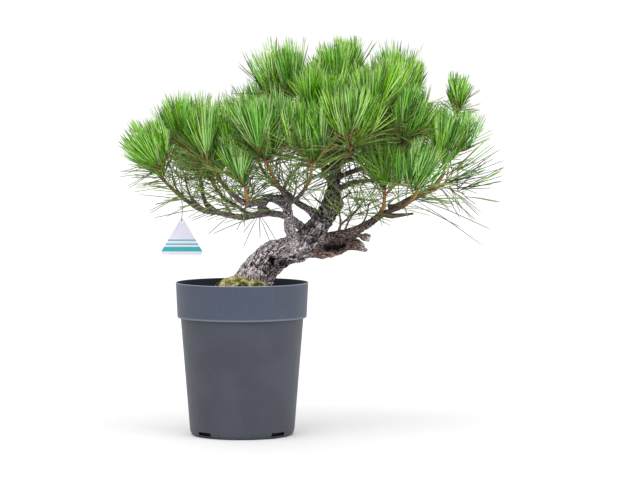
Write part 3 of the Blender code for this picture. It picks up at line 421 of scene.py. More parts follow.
class Socket:
    """A node's output. An expression on it adds the Math nodes that work it out."""

    __add__, __radd__ = both_ways("ADD")
    __sub__, __rsub__ = both_ways("SUBTRACT")
    __mul__, __rmul__ = both_ways("MULTIPLY")
    __truediv__, __rtruediv__ = both_ways("DIVIDE")
    __gt__, __lt__ = both_ways("GREATER_THAN")

    def __init__(self, nodes, link):
        self.nodes = nodes
        self.link = link

    def maths(self, operation, other=0.0):
        return self.nodes.maths(operation, self, other)

    def output(self, name):
        """Another output of the same node."""
        return Socket(self.nodes, self.link.node.outputs[name])


class Nodes:
    """A node tree under construction."""

    def __init__(self, tree):
        self.tree = tree

    def add(self, kind, settings=None, inputs=None, output=0):
        """A node of a type, with its settings made first, then the values or links of its sockets."""
        node = self.tree.nodes.new(kind)
        for name, value in (settings or {}).items():
            if name == "stops":
                self.set_stops(node.color_ramp.elements, value)
            else:
                setattr(node, name, value)
        for name, value in (inputs or {}).items():
            if isinstance(value, Socket):
                self.tree.links.new(value.link, node.inputs[name])
            else:
                node.inputs[name].default_value = value
        return Socket(self, node.outputs[output])

    @staticmethod
    def set_stops(elements, stops):
        while len(elements) < len(stops):
            elements.new(1.0)
        for element, (place, colour) in zip(elements, stops):
            element.position = place
            element.color = (*colour, 1.0)

    def maths(self, operation, first, second):
        return self.add("ShaderNodeMath", {"operation": operation}, {0: first, 1: second})

    def vector(self, operation, *values, **named):
        return self.add("ShaderNodeVectorMath", {"operation": operation}, dict(enumerate(values), **named))

    def scaled(self, vector, factor):
        return self.vector("SCALE", vector, Scale=factor)

    def part(self, vector, axis="X"):
        return self.add("ShaderNodeSeparateXYZ", None, {0: vector}, axis)

    def noise(self, vector, scale, detail=3.0, roughness=0.55):
        inputs = {"Vector": vector, "Scale": scale, "Detail": detail, "Roughness": roughness}
        return self.add("ShaderNodeTexNoise", None, inputs)

    def cells(self, vector, scale, feature):
        return self.add("ShaderNodeTexVoronoi", {"feature": feature}, {"Vector": vector, "Scale": scale})

    def smooth(self, value, low, high, start=0.0, end=1.0):
        """A smooth step from one number to another as the value goes from low to high."""
        inputs = {"Value": value, "From Min": low, "From Max": high, "To Min": start, "To Max": end}
        return self.add("ShaderNodeMapRange", {"interpolation_type": "SMOOTHSTEP"}, inputs)

    def mix(self, share, first, second):
        """A mix of two colours, each a link or three numbers."""
        first, second = (c if isinstance(c, Socket) else (*c, 1.0) for c in (first, second))
        return self.add("ShaderNodeMix", {"data_type": "RGBA"}, {0: share, 6: first, 7: second}, 2)

    def tinge(self, tone, colour, value, low, high, most=1.0):
        """A colour that turns into another, wholly or in part, as a value goes from low to high."""
        return self.mix(self.smooth(value, low, high, 0.0, most), tone, colour)

    def ramp(self, value, *stops):
        return self.add("ShaderNodeValToRGB", {"stops": stops}, {0: value})

    def plates(self, cells, fine):
        """Random numbers of the plate and the finer plate at a place, and how far up its plate it is."""
        plates = self.cells(cells, 1.0, "F1")
        rise = self.vector("SUBTRACT", cells, plates.output("Position"))
        return (self.part(plates.output("Color")), self.part(self.cells(cells, fine, "F1").output("Color")),
                self.part(rise, "Z"))

    def cracks(self, cells, fine, edge, fine_edge, fine_depth):
        """Cracks between the plates, 1 at their bottoms, with less deep ones between the finer plates."""
        crack = self.smooth(self.cells(cells, 1.0, "DISTANCE_TO_EDGE"), *edge, 1.0, 0.0)
        fine_crack = self.smooth(self.cells(cells, fine, "DISTANCE_TO_EDGE"), *fine_edge, fine_depth, 0.0)
        return crack.maths("MAXIMUM", fine_crack)


class Finish(Nodes):
    """A material under construction, with the object's own coordinates at hand."""

    def __init__(self, name, roughness, specular):
        self.material = bpy.data.materials.new(name)
        self.material.use_nodes = True
        super().__init__(self.material.node_tree)
        self.shader = self.tree.nodes["Principled BSDF"]
        self.set("Roughness", roughness)
        self.set("Specular IOR Level", specular)
        self.place = self.add("ShaderNodeTexCoord", None, None, "Object")

    def set(self, name, value):
        if isinstance(value, Socket):
            self.tree.links.new(value.link, self.shader.inputs[name])
        else:
            self.shader.inputs[name].default_value = value

    def attribute(self, name, output="Fac"):
        return self.add("ShaderNodeAttribute", {"attribute_name": name}, None, output)

    def axis(self, name):
        return self.part(self.place, name)

    def bump(self, height, distance, strength):
        inputs = {"Height": height, "Distance": distance, "Strength": strength}
        self.set("Normal", self.add("ShaderNodeBump", None, inputs))


class Recipe(Nodes):
    """A Geometry Nodes tree with named inputs, ending in Realize Instances and Set Material."""

    KINDS = {int: "NodeSocketInt", float: "NodeSocketFloat"}

    def __init__(self, name, inputs):
        super().__init__(bpy.data.node_groups.new(name, "GeometryNodeTree"))
        interface = self.tree.interface
        for way in ("INPUT", "OUTPUT"):
            interface.new_socket(name="Geometry", in_out=way, socket_type="NodeSocketGeometry")
        for label, value in inputs.items():
            kind = "NodeSocketMaterial" if value is None else self.KINDS[type(value)]
            socket = interface.new_socket(name=label, in_out="INPUT", socket_type=kind)
            if value is not None:
                socket.default_value = value
        self.group = self.tree.nodes.new("NodeGroupInput")

    def input(self, name):
        return Socket(self, self.group.outputs[name])

    def store(self, geometry, name, value, kind="FLOAT", domain="POINT"):
        """The geometry with a value kept at each point under a name."""
        settings = {"data_type": kind, "domain": domain}
        inputs = {0: geometry, "Name": name, "Value": value}
        return self.add("GeometryNodeStoreNamedAttribute", settings, inputs)

    def named(self, name):
        return self.add("GeometryNodeInputNamedAttribute", {"data_type": "FLOAT"}, {"Name": name})

    def random(self, low, high, seed):
        """A random number between two, or a vector where they are vectors."""
        if isinstance(low, tuple):
            return self.add("FunctionNodeRandomValue", {"data_type": "FLOAT_VECTOR"},
                            {0: low, 1: high, "Seed": seed}, 0)
        return self.add("FunctionNodeRandomValue", {"data_type": "FLOAT"}, {2: low, 3: high, "Seed": seed}, 1)

    def end(self, geometry, smooth=True):
        real = self.add("GeometryNodeRealizeInstances", None, {0: geometry})
        shaded = self.add("GeometryNodeSetShadeSmooth", None, {0: real, "Shade Smooth": smooth})
        dressed = self.add("GeometryNodeSetMaterial", None, {0: shaded, "Material": self.input("Material")})
        node = self.tree.nodes.new("NodeGroupOutput")
        self.tree.links.new(dressed.link, node.inputs[0])
        return self.tree


def cook(source, tree, name, values):
    """The plain mesh object that a Geometry Nodes tree makes of a source object, which is removed."""
    modifier = source.modifiers.new(name, "NODES")
    modifier.node_group = tree
    for item in tree.interface.items_tree:
        if item.in_out == "INPUT" and item.name in values:
            modifier[item.identifier] = values[item.name]
    bpy.context.view_layer.update()
    graph = bpy.context.evaluated_depsgraph_get()
    mesh = bpy.data.meshes.new_from_object(source.evaluated_get(graph))
    mesh.name = name
    bpy.data.objects.remove(source, do_unlink=True)
    if not mesh.polygons:
        raise RuntimeError(name + " came out empty")
    return add_object(name, mesh)


def add_object(name, data):
    made = bpy.data.objects.new(name, data)
    bpy.context.scene.collection.objects.link(made)
    return made


def finish_piece(made, nodes, material=None):
    """Hands a piece to the frame: its body, and the solids that it stands for."""
    if material:
        made.data.materials.clear()
        made.data.materials.append(material)
    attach(made, BODY)
    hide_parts(*nodes)


def triangle_mesh(name, points, triangles):
    """A smooth mesh from arrays of points in millimetres and of triangles."""
    mesh = bpy.data.meshes.new(name)
    mesh.vertices.add(len(points))
    mesh.vertices.foreach_set("co", (points * MM).astype(np.float32).ravel())
    mesh.loops.add(3 * len(triangles))
    mesh.loops.foreach_set("vertex_index", triangles.astype(np.int32).ravel())
    mesh.polygons.add(len(triangles))
    mesh.polygons.foreach_set("loop_start", np.arange(0, 3 * len(triangles), 3, dtype=np.int32))
    mesh.polygons.foreach_set("use_smooth", np.ones(len(triangles), bool))
    mesh.update(calc_edges=True)
    mesh.validate()
    return mesh


def plain_mesh(work, name):
    """The mesh of what was built in bmesh."""
    mesh = bpy.data.meshes.new(name)
    work.to_mesh(mesh)
    work.free()
    return mesh


def mesh_places(mesh):
    """A mesh's points in millimetres."""
    places = np.empty(len(mesh.vertices) * 3, np.float32)
    mesh.vertices.foreach_get("co", places)
    return places.reshape(-1, 3).astype(float) / MM


def move_points(mesh, places):
    mesh.vertices.foreach_set("co", (places * MM).astype(np.float32).ravel())
    mesh.update()


def store_values(mesh, name, values):
    """Keeps a number at each point of a mesh under a name."""
    kept = mesh.attributes.get(name) or mesh.attributes.new(name, "FLOAT", "POINT")
    kept.data.foreach_set("value", np.asarray(values, np.float32))


def smooth_by_angle(mesh, degrees):
    mesh.polygons.foreach_set("use_smooth", np.ones(len(mesh.polygons), bool))
    mesh.set_sharp_from_angle(angle=math.radians(degrees))


def spline_rows(rows, step):
    """Rows of numbers that start with a place, on a Catmull-Rom curve through the given rows."""
    rows = np.asarray(rows, float)
    ends = np.vstack([rows[0] * 2 - rows[1], rows, rows[-1] * 2 - rows[-2]])
    found = []
    for before, start, end, after in zip(ends, ends[1:], ends[2:], ends[3:]):
        count = max(1, round(float(np.linalg.norm((end - start)[:3])) / step))
        for k in range(count):
            t = k / count
            found.append(0.5 * (2 * start + (end - before) * t
                                + (2 * before - 5 * start + 4 * end - after) * t * t
                                + (3 * start - before - 3 * end + after) * t ** 3))
    return np.array([*found, rows[-1]])


def lengths_along(path):
    """How far along a path each of its points lies."""
    total, found = 0.0, [0.0]
    for start, end in zip(path, path[1:]):
        total += (end - start).length
        found.append(total)
    return found


def smooth_path(points, step):
    return [Vector(row) for row in spline_rows([tuple(point) for point in points], step)]


class Limb:
    """A tapering limb, as points down its middle and a radius at each."""

    def __init__(self, path, radii):
        self.path = path
        self.radii = radii

    @classmethod
    def of_rows(cls, rows):
        return cls([Vector(row[:3]) for row in rows], [row[3] for row in rows])

    def piece(self, first, last):
        return Limb(self.path[first:last], self.radii[first:last])

    def rows(self, step):
        """Fine rows of x, y, z and radius along the limb."""
        return spline_rows([(*point, radius) for point, radius in zip(self.path, self.radii)], step)


def trunk_limb(rng):
    path = smooth_path([Vector(point[:3]) for point in TRUNK], TRUNK_STEP)
    along = lengths_along(path)
    marks = lengths_along([Vector(point[:3]) for point in TRUNK])
    scale = along[-1] / marks[-1]
    radii = []
    for here in along:
        radius = float(np.interp(here / scale, marks, [point[3] for point in TRUNK]))
        radii.append(radius * (1 + rng.uniform(-BARK_SWELL, BARK_SWELL)))
    return Limb(path, radii)


def grow_limb(points, root, tip, lateness, rng):
    """A limb that thickens into a collar at its root and kinks a little on its way."""
    path = smooth_path([Vector(point) for point in points], LIMB_STEP)
    along = lengths_along(path)
    radii = []
    for k, here in enumerate(along):
        share = (here / along[-1]) ** lateness
        collar = 1 + ROOT_COLLAR * math.exp(-here / COLLAR_LENGTH)
        radii.append((root + (tip - root) * share) * collar)
        if 1 < k < len(path) - 1:
            path[k] = path[k] + Vector([rng.uniform(-KINK, KINK) for _ in range(3)])
    return Limb(path, radii)


def across(direction, angle):
    """A unit vector square to a direction, turned round it by an angle."""
    side = direction.cross(SEAM_SIDE).normalized()
    return side * math.cos(angle) + direction.cross(side) * math.sin(angle)


class Capsules:
    """The straight lengths of many limbs, for telling how far a shoot or needle is from all of them."""

    def __init__(self, limbs):
        starts, ends, radii = [], [], []
        for limb in limbs:
            starts += [tuple(point) for point in limb.path[:-1]]
            ends += [tuple(point) for point in limb.path[1:]]
            radii += [max(pair) for pair in zip(limb.radii, limb.radii[1:])]
        self.start = np.array(starts)
        self.line = np.array(ends) - self.start
        self.square = np.maximum((self.line ** 2).sum(1), 1e-9)
        self.radius = np.array(radii)

    def away(self, points):
        """How far each point is from the nearest limb's surface."""
        offset = points[:, None] - self.start
        along = np.clip((offset * self.line).sum(2) / self.square, 0, 1)
        return (np.linalg.norm(offset - along[..., None] * self.line, axis=2) - self.radius).min(1)

    def clearance(self, start, end):
        share = np.linspace(0, 1, PLACES_CHECKED)[:, None]
        return float(self.away(np.array(start) * (1 - share) + np.array(end) * share).min())


class Space:
    """What one mass keeps to: all that is nearer its own centre than any neighbour's, and in reach."""

    def __init__(self, name, centres):
        self.centre = np.array(centres[name])
        self.others = np.array([centre for other, centre in centres.items() if other != name])

    def hold(self, points, margin, reach=BRUSH_REACH):
        """Which of the points the space holds."""
        offset = points - self.centre
        line = self.others - self.centre
        far = np.linalg.norm(line, axis=1)
        side = offset @ line.T / far
        return (np.linalg.norm(offset, axis=1) < reach) & (side < far / 2 - margin).all(1)

    def holds(self, point, margin=KEEP_APART):
        return bool(self.hold(np.array([tuple(point)]), margin)[0])


def grow_shoots(stem_tip, stem_way, lean, count, space, limbs, rng, reach=SHOOT_LENGTH, margin=KEEP_APART):
    """The shoots that fork from a stem: the leader first, then side shoots in a spiral round it."""
    shoots = [(stem_tip, stem_tip + lean * LEADER_LENGTH)]
    turn = rng.uniform(0, math.tau)
    for _ in range(1, count):
        for _ in range(SHOOT_TRIES):
            turn += GOLDEN_TURN
            way = (lean * SHOOT_SPREAD + across(lean, turn) + Vector((0, 0, SHOOT_LIFT))).normalized()
            start = stem_tip - stem_way * rng.uniform(*SHOOT_DROPS)
            end = start + way * reach * rng.uniform(*SHOOT_SPAN)
            free = start.lerp(end, CLEAR_START)
            if space.holds(end, margin) and limbs.clearance(free, end) > KEEP_OFF_LIMB:
                shoots.append((start, end))
                break
    return shoots


class Tree:
    """The whole plant's limbs and the shoots of each mass, grown by the rule of the solids."""

    def __init__(self):
        rng = random.Random(TREE_SEED)
        self.trunk = trunk_limb(rng)
        self.boughs = {name: grow_limb(*shape, rng) for name, shape in BOUGHS.items()}
        self.leans = {name: Vector(row[3]).normalized() for name, row in BRANCHES.items()}
        self.leans["top"] = Vector(TOP_BRUSH[1]).normalized()
        feet = {name: Vector(row[0][-1]) for name, row in BRANCHES.items()}
        feet["top"] = self.trunk.path[-1]
        centres = {name: feet[name] + self.leans[name] * BRUSH_CENTRE for name in feet}
        self.spaces = {name: Space(name, centres) for name in feet}
        self.stems, self.branches = {}, {}
        for name, (points, root, *_) in BRANCHES.items():
            self.branches[name] = grow_limb(points, root, BRANCH_TIP_RADIUS, 1, rng)
            self.split(name, self.branches[name])
        self.boughs["loop_bough"] = grow_limb(*LOOP_BOUGH, rng)
        tip, below = self.trunk.path[-1], self.trunk.path[-2]
        top_path = [tip.lerp(below, STEM_OVERRUN / TRUNK_STEP), tip + self.leans["top"] * TOP_STEM]
        self.stems["top"] = Limb(top_path, [self.trunk.radii[-1], BRANCH_TIP_RADIUS])
        self.branches["top"] = self.stems["top"]
        self.shoots = {name: self.shoots_of(name) for name in self.stems}
        self.twigs = {name: self.twigs_of(name) for name in self.stems}

    def split(self, name, whole):
        """Parts a branch into its bough and the stem that its mass grows on."""
        if name in ON_TRUNK:
            self.stems[name] = whole
            return
        first = len(whole.path) - 1
        while first > 1 and self.spaces[name].holds(whole.path[first - 1]):
            first -= 1
        split = min(max(first, round(LEAST_BOUGH_SHARE * len(whole.path))), len(whole.path) - 2)
        self.boughs[name + "_bough"] = whole.piece(0, split + 1)
        self.stems[name] = whole.piece(split, len(whole.path))

    def others(self, name):
        """All wood but one mass's own stem."""
        stems = [limb for key, limb in self.stems.items() if key != name]
        return Capsules([self.trunk, *self.boughs.values(), *stems])

    def shoots_of(self, name):
        stem = self.stems[name]
        rng = random.Random("needles of " + name)
        way = (stem.path[-1] - stem.path[-2]).normalized()
        count = BRANCHES[name][2] if name in BRANCHES else TOP_BRUSH[0]
        return grow_shoots(stem.path[-1], way, self.leans[name], count, self.spaces[name],
                           self.others(name), rng)

    def twigs_of(self, name):
        """The finer shoots that fork from a mass's shoots by the same rule."""
        others = self.others(name)
        rng = random.Random("twigs of " + name)
        found = []
        for start, end in self.shoots[name]:
            way = (end - start).normalized()
            lean = (way + self.leans[name] * TWIG_LEAN).normalized()
            found += grow_shoots(end, way, lean, TWIG_COUNT + 1, self.spaces[name], others, rng, TWIG_LENGTH,
                                 LOOSE_MARGIN)[1:]
        return found

    def brush_of(self, name):
        """A mass's needle length and colour weights."""
        row = BRANCHES.get(name)
        return row[4:6] if row else TOP_BRUSH[2:4]


TREE = Tree()
MASS_NODES = [name + "_needles" for name in TREE.stems]


def linear(red, green, blue):
    """A colour given in 8-bit screen values, as the linear numbers that a shader takes."""
    return tuple(v / 255 / 12.92 if v <= 10 else ((v / 255 + 0.055) / 1.055) ** 2.4
                 for v in (red, green, blue))


# Limbs


def limb_curve(name, limbs, step):
    """A curve object with a spline for each limb, whose points carry the limb's radius."""
    curve = bpy.data.curves.new(name, "CURVE")
    curve.dimensions = "3D"
    for limb in limbs:
        rows = limb.rows(step)
        spline = curve.splines.new("POLY")
        spline.points.add(len(rows) - 1)
        spline.points.foreach_set("co", np.column_stack([rows[:, :3] * MM, np.ones(len(rows))]).ravel())
        spline.points.foreach_set("radius", rows[:, 3] * MM)
    return add_object(name, curve)


def bark_recipe():
    """Skin over limbs that follow curves, broken into tilted flakes by cracks at two scales."""
    recipe = Recipe("bark relief", {
        "Sides": 24, "Ring Step": 0.0015, "Plate Width": 0.005, "Plate Length": 0.009,
        "Crack Depth": 0.001, "Flake Depth": 0.0005, "Swell": 0.001, "Twist": 12.0, "Young Length": 0.0,
        "Seed": 0.0, "Material": None,
    })
    spline = recipe.add("GeometryNodeSplineParameter", None, None, "Length")
    whole = recipe.add("GeometryNodeSplineLength", None, None, "Length")
    radius = recipe.add("GeometryNodeInputRadius")
    lines = recipe.add("GeometryNodeResampleCurve", {"mode": "LENGTH"},
                       {0: recipe.input("Geometry"), "Length": recipe.input("Ring Step")})
    young = recipe.smooth((whole - spline) / (recipe.input("Young Length") + 0.000001), 1.0, 0.45)
    for name, value in (("along", spline), ("girth", radius), ("young", young)):
        lines = recipe.store(lines, name, value)
    circle = recipe.add("GeometryNodeCurvePrimitiveCircle", None,
                        {"Resolution": recipe.input("Sides"), "Radius": 1.0})
    factor = recipe.add("GeometryNodeSplineParameter", None, None, "Factor")
    circle = recipe.store(circle, "around", factor * math.tau)
    skin = recipe.add("GeometryNodeCurveToMesh", None,
                      {"Curve": lines, "Profile Curve": circle, "Scale": radius, "Fill Caps": True})

    girth, along = recipe.named("girth"), recipe.named("along")
    turn = recipe.named("around") + along * recipe.input("Twist")
    cells = recipe.add("ShaderNodeCombineXYZ", None, {
        0: turn.maths("COSINE") * girth / recipe.input("Plate Width"),
        1: turn.maths("SINE") * girth / recipe.input("Plate Width"),
        2: along / recipe.input("Plate Length") + recipe.input("Seed"),
    })
    spot = recipe.add("GeometryNodeInputPosition")
    for scale, reach in ((60.0, 2.2), (240.0, 0.8)):
        wobble = recipe.vector("SUBTRACT", recipe.noise(spot, scale, 2.0).output("Color"), (0.5, 0.5, 0.5))
        cells = recipe.vector("ADD", cells, recipe.scaled(wobble, reach))
    plate, fine_plate, tilt = recipe.plates(cells, 2.3)
    open_share = recipe.smooth(recipe.noise(spot, 75.0, 2.0), 0.35, 0.65, 0.05, 0.17)
    crack = recipe.cracks(cells, 2.3, (0.01, open_share), (0.02, 0.14), 0.55)
    fine = recipe.noise(spot, 620.0, 3.0) - 0.5
    lumps = recipe.noise(spot, 42.0, 3.0) - 0.5
    relief = plate * 0.7 + fine_plate * 0.5 + tilt * 0.9 + fine * 1.1
    for name, value in (("crack", crack), ("plate", plate), ("hollow", 0.0)):
        skin = recipe.store(skin, name, value)
    skin = recipe.store(skin, "cells", cells, "FLOAT_VECTOR")
    thin = recipe.smooth(girth, 0.0012, 0.007, 0.25, 1.0)
    rise = relief * recipe.input("Flake Depth") - crack * recipe.input("Crack Depth")
    rise = (rise + lumps * recipe.input("Swell")) * thin
    offset = recipe.scaled(recipe.add("GeometryNodeInputNormal"), rise)
    return recipe.end(recipe.add("GeometryNodeSetPosition", None, {0: skin, "Offset": offset}))


def limb_piece(name, limbs, step, sizes):
    """The bark of some limbs, as one plain mesh object."""
    return cook(limb_curve(name, limbs, step), bark_recipe(), name, sizes)


def shape_knots(mesh, knots):
    """Swellings and hollows at given places on the bark, with painted shade inside the hollows."""
    place, hollow = mesh_places(mesh), np.zeros(len(mesh.vertices))
    first = place.copy()
    normals = np.empty(len(place) * 3, np.float32)
    mesh.vertex_normals.foreach_get("vector", normals)
    normals = normals.reshape(-1, 3)
    for x, y, z, reach, rise in knots:
        share = np.exp(-((first - np.array((x, y, z))) ** 2).sum(1) / reach ** 2)
        place += normals * (share * rise)[:, None]
        # A hollow gets painted shade, darkest at its middle
        if rise < 0:
            dark = np.clip(share * HOLLOW_GAIN - HOLLOW_START, 0, min(1, -rise / FULL_HOLLOW))
            hollow = np.maximum(hollow, dark)
    store_values(mesh, "hollow", hollow)
    move_points(mesh, place)


def shape_foot(mesh):
    """The trunk's root flare in lobes, and its flat end in the soil."""
    place = mesh_places(mesh)
    foot = np.array(TRUNK[0][:3])
    out = place[:, :2] - foot[:2]
    height = np.maximum(place[:, 2] - foot[2], 0)
    lobe = np.cos(ROOT_LOBES * np.arctan2(out[:, 1], out[:, 0]) + ROOT_TURN) * ROOT_SWELL
    lobe *= np.exp(-(height / ROOT_HEIGHT) ** 2) * (height < 2 * ROOT_HEIGHT)
    place[:, :2] += out * lobe[:, None]
    place[place[:, 2] < foot[2] + FLAT_END, 2] = foot[2] - FOOT_SINK
    move_points(mesh, place)


def bark_finish(bark, name, measure, start, end):
    """Pale flakes between black cracks, greyer and darker up the tree and orange-brown on young wood. The
    flakes are painted paler towards their raised edges as a painted highlight, the cracks and hollows hold
    painted shade, and the darker wood up the tree is partly painted shade under the crown.
    """
    skin = Finish(name, 0.88, 0.25)
    girth, height = skin.attribute("girth"), skin.axis("Z")
    cells = skin.attribute("cells", "Vector")
    plate, fine_plate, tilt = skin.plates(cells, 2.6)
    grain = skin.noise(skin.place, 1300.0, 4.0, 0.7)
    streak = skin.noise(skin.vector("MULTIPLY", cells, (3.5, 3.5, 0.8)), 1.0, 3.0)
    patch = skin.noise(skin.place, 55.0, 3.0)
    # The tilt term paints each plate paler towards its raised edge, a painted highlight on top of the plates'
    # random tones
    pale = (tilt * 0.75 + (plate - 0.5) * 0.45 + (fine_plate - 0.5) * 0.5 + (grain - 0.5) * 1.1
            + (streak - 0.5) * 1.5)
    flake = skin.tinge(bark.flake_dark, bark.flake_pale, pale + (patch - 0.5) * 0.8, -0.5, 0.3)
    flake = skin.tinge(flake, bark.flake_brown, plate, 0.6, 0.95, 0.5)
    flake = skin.tinge(flake, bark.root, height, *FOOT_TINGE, 0.35)
    # Higher up, the plates turn greyer and darker, partly as painted shade under the crown
    reach = height if measure == "height" else skin.attribute(measure)
    high_tone_and_shade = skin.tinge(bark.high, bark.high_pale, pale, -0.3, 0.75)
    flake = skin.tinge(flake, high_tone_and_shade, reach, start, end, 0.9)
    if measure == "height":
        brown = skin.tinge(bark.bough_dark, bark.bough, pale, -0.5, 0.7)
        flake = skin.tinge(flake, brown, skin.axis("X"), *RIGHT_BOUGH, 0.9)
    flake = skin.tinge(flake, bark.twig, girth, *TWIG_GIRTH, 0.7)
    orange = skin.tinge(bark.shoot, bark.shoot_dark, patch, 0.4, 0.7)
    flake = skin.mix(skin.attribute("young"), flake, orange)
    open_share = skin.smooth(patch, 0.35, 0.65, 0.06, 0.17)
    crack = skin.cracks(cells, 2.6, (open_share * 0.3, open_share), (0.02, 0.09), 0.6)
    # The cracks are painted near black: the fissures' own dark with painted shade, fuller on thicker wood
    depth = crack * skin.smooth(girth, *THIN_GIRTH, 0.25, 1.0)
    # The hollows' painted shade joins the cracks' dark
    skin.set("Base Color", skin.mix(depth.maths("MAXIMUM", skin.attribute("hollow")), flake, bark.crack))
    skin.bump(pale * 0.5 - crack * 1.2, 0.0009, 0.9)
    return skin.material


def build_trunk(bark):
    sizes = {"Sides": 128, "Ring Step": 0.0009, "Plate Width": bark.plate_width,
             "Plate Length": bark.plate_length, "Crack Depth": bark.crack_depth, "Flake Depth": 0.0019,
             "Swell": 0.006, "Seed": 3.0, "Material": bark_finish(bark, "trunk bark", *TRUNK_HIGH)}
    trunk = limb_piece("trunk_bark", [TREE.trunk], 2.0, sizes)
    shape_knots(trunk.data, KNOTS)
    shape_foot(trunk.data)
    finish_piece(trunk, ["trunk"])


def build_boughs(bark):
    sizes = {"Sides": 24, "Ring Step": 0.0013, "Plate Width": bark.plate_width * 0.6,
             "Plate Length": bark.plate_length * 0.55, "Crack Depth": bark.crack_depth * 0.5,
             "Flake Depth": 0.001, "Swell": 0.0042, "Seed": 11.0,
             "Material": bark_finish(bark, "bough bark", *BOUGH_HIGH)}
    twigs = [Limb.of_rows(rows) for _, rows in GREY_TWIGS]
    names = [*BOUGHS, "loop_bough"]
    boughs = limb_piece("bough_bark", [*(TREE.boughs[name] for name in names), *twigs], 3.0, sizes)
    finish_piece(boughs, names)
    sizes["Young Length"] = bark.young_length
    branches = limb_piece("branch_bark", TREE.branches.values(), 3.0, sizes)
    finish_piece(branches, [name for name in TREE.boughs if name not in names])


def stub_finish(wood):
    """Weathered grey-brown fibres, pinkish where they are torn and pale grey at the broken end, with painted
    shade in the gaps between fibres and in the hollows.
    """
    skin = Finish("dead wood", 0.88, 0.25)
    cells = skin.attribute("cells", "Vector")
    fibre = skin.noise(skin.vector("MULTIPLY", cells, (2.0, 2.0, 0.35)), 1.0, 4.0, 0.65)
    patch = skin.noise(skin.place, 90.0, 3.0)
    x, z = skin.axis("X"), skin.axis("Z")
    tone = skin.tinge(wood.wood_dark, wood.wood_pale, fibre, 0.35, 0.66)
    torn = skin.smooth(z, *TORN_HEIGHT) * skin.smooth(x, *TORN_ENDS[0]) * skin.smooth(x, *TORN_ENDS[1])
    tone = skin.mix(torn * skin.smooth(fibre, 0.3, 0.6, 0.3, 0.9), tone, wood.wood_torn)
    tone = skin.tinge(tone, wood.wood_grey, patch, 0.45, 0.62, 0.5)
    tone = skin.mix(skin.smooth(x, *STUB_END) * skin.smooth(fibre, 0.35, 0.6), tone, wood.wood_end)
    # The gaps between fibres and the hollows are painted near black: their own dark with painted shade
    gap_and_shade = skin.smooth(skin.cells(cells, 1.0, "DISTANCE_TO_EDGE"), 0.02, 0.1, 1.0, 0.0)
    gap_and_shade = gap_and_shade.maths("MAXIMUM", skin.attribute("hollow"))
    skin.set("Base Color", skin.mix(gap_and_shade, tone, wood.wood_gap))
    skin.bump(fibre - gap_and_shade, 0.0009, 0.9)
    return skin.material


def build_stub(wood):
    limbs = [Limb.of_rows(rows) for rows in (STUB, STUB_LINK, *STUB_TINES)]
    sizes = {"Sides": 40, "Ring Step": 0.0009, "Plate Width": 0.0026, "Plate Length": 0.012,
             "Crack Depth": 0.0012, "Flake Depth": 0.0011, "Swell": 0.0045, "Seed": 5.0,
             "Material": stub_finish(wood)}
    stub = limb_piece("stub_wood", limbs, 1.5, sizes)
    shape_knots(stub.data, STUB_HOLLOWS)
    finish_piece(stub, ["old_stub"])


def shoot_finish(bark):
    """Orange-brown year-old shoots, ribbed where last year's needles sat."""
    skin = Finish("year-old shoots", 0.7, 0.3)
    crack, plate = skin.attribute("crack"), skin.attribute("plate")
    patch = skin.noise(skin.place, 160.0, 3.0)
    tone = skin.tinge(bark.shoot, bark.shoot_dark, patch, 0.35, 0.7)
    tone = skin.mix(0.5, skin.mix(plate * 0.5, tone, bark.shoot_pale), bark.twig)
    skin.set("Base Color", skin.tinge(tone, bark.shoot_dark, crack, 0.2, 0.9, 0.8))
    skin.bump(skin.noise(skin.place, 1500.0, 2.0), 0.0003, 0.7)
    return skin.material


def build_shoots(bark):
    """The year-old shoots and the finer ones that fork from them, each ending in a bud."""
    rng = random.Random("buds")
    limbs = []
    for name in TREE.stems:
        slim = SLIMMEST if SPARSE.get(name, (1, 1))[0] < 0.5 else SLIM
        for shoots, root, tip in ((TREE.shoots[name], SHOOT_ROOT * slim, SHOOT_TIP * slim),
                                  (TREE.twigs[name], TWIG_ROOT * slim, TWIG_TIP * slim)):
            for start, end in shoots:
                way = (end - start).normalized()
                bend = Vector([rng.uniform(-SHOOT_BEND, SHOOT_BEND) for _ in range(3)])
                bud = [end + way * reach for reach in (*(ring[0] for ring in BUD_RINGS), BUD_LENGTH)]
                girths = [tip * ring[1] for ring in BUD_RINGS]
                path = [start, start.lerp(end, 0.5) + bend, end, *bud]
                limbs.append(Limb(path, [root, (root + tip) / 2, tip, *girths, BUD_POINT]))
    sizes = {"Sides": 8, "Ring Step": 0.0013, "Plate Width": 0.0011, "Plate Length": 0.0018,
             "Crack Depth": 0.0011, "Flake Depth": 0.0007, "Swell": 0.0006, "Seed": 2.0,
             "Material": shoot_finish(bark)}
    shoots = limb_piece("year_old_shoots", limbs, 1.5, sizes)
    finish_piece(shoots, MASS_NODES)


# Needles


class NeedleBed:
    """Needles gathered as arrays: roots, aims as long as the needles, bends and shades."""

    def __init__(self):
        self.rows = []

    def add(self, roots, aims, bends, shades):
        self.rows.append(np.column_stack([roots, aims, bends, shades]))

    def meshes(self, name, thickness):
        """Three-sided tapering needles, in meshes of few enough triangles."""
        rows = np.vstack(self.rows)
        for k in range(0, len(rows), NEEDLES_IN_PIECE):
            part = "" if len(rows) <= NEEDLES_IN_PIECE else "_" + str(k // NEEDLES_IN_PIECE + 1)
            yield needle_mesh(name + part, rows[k:k + NEEDLES_IN_PIECE], thickness)


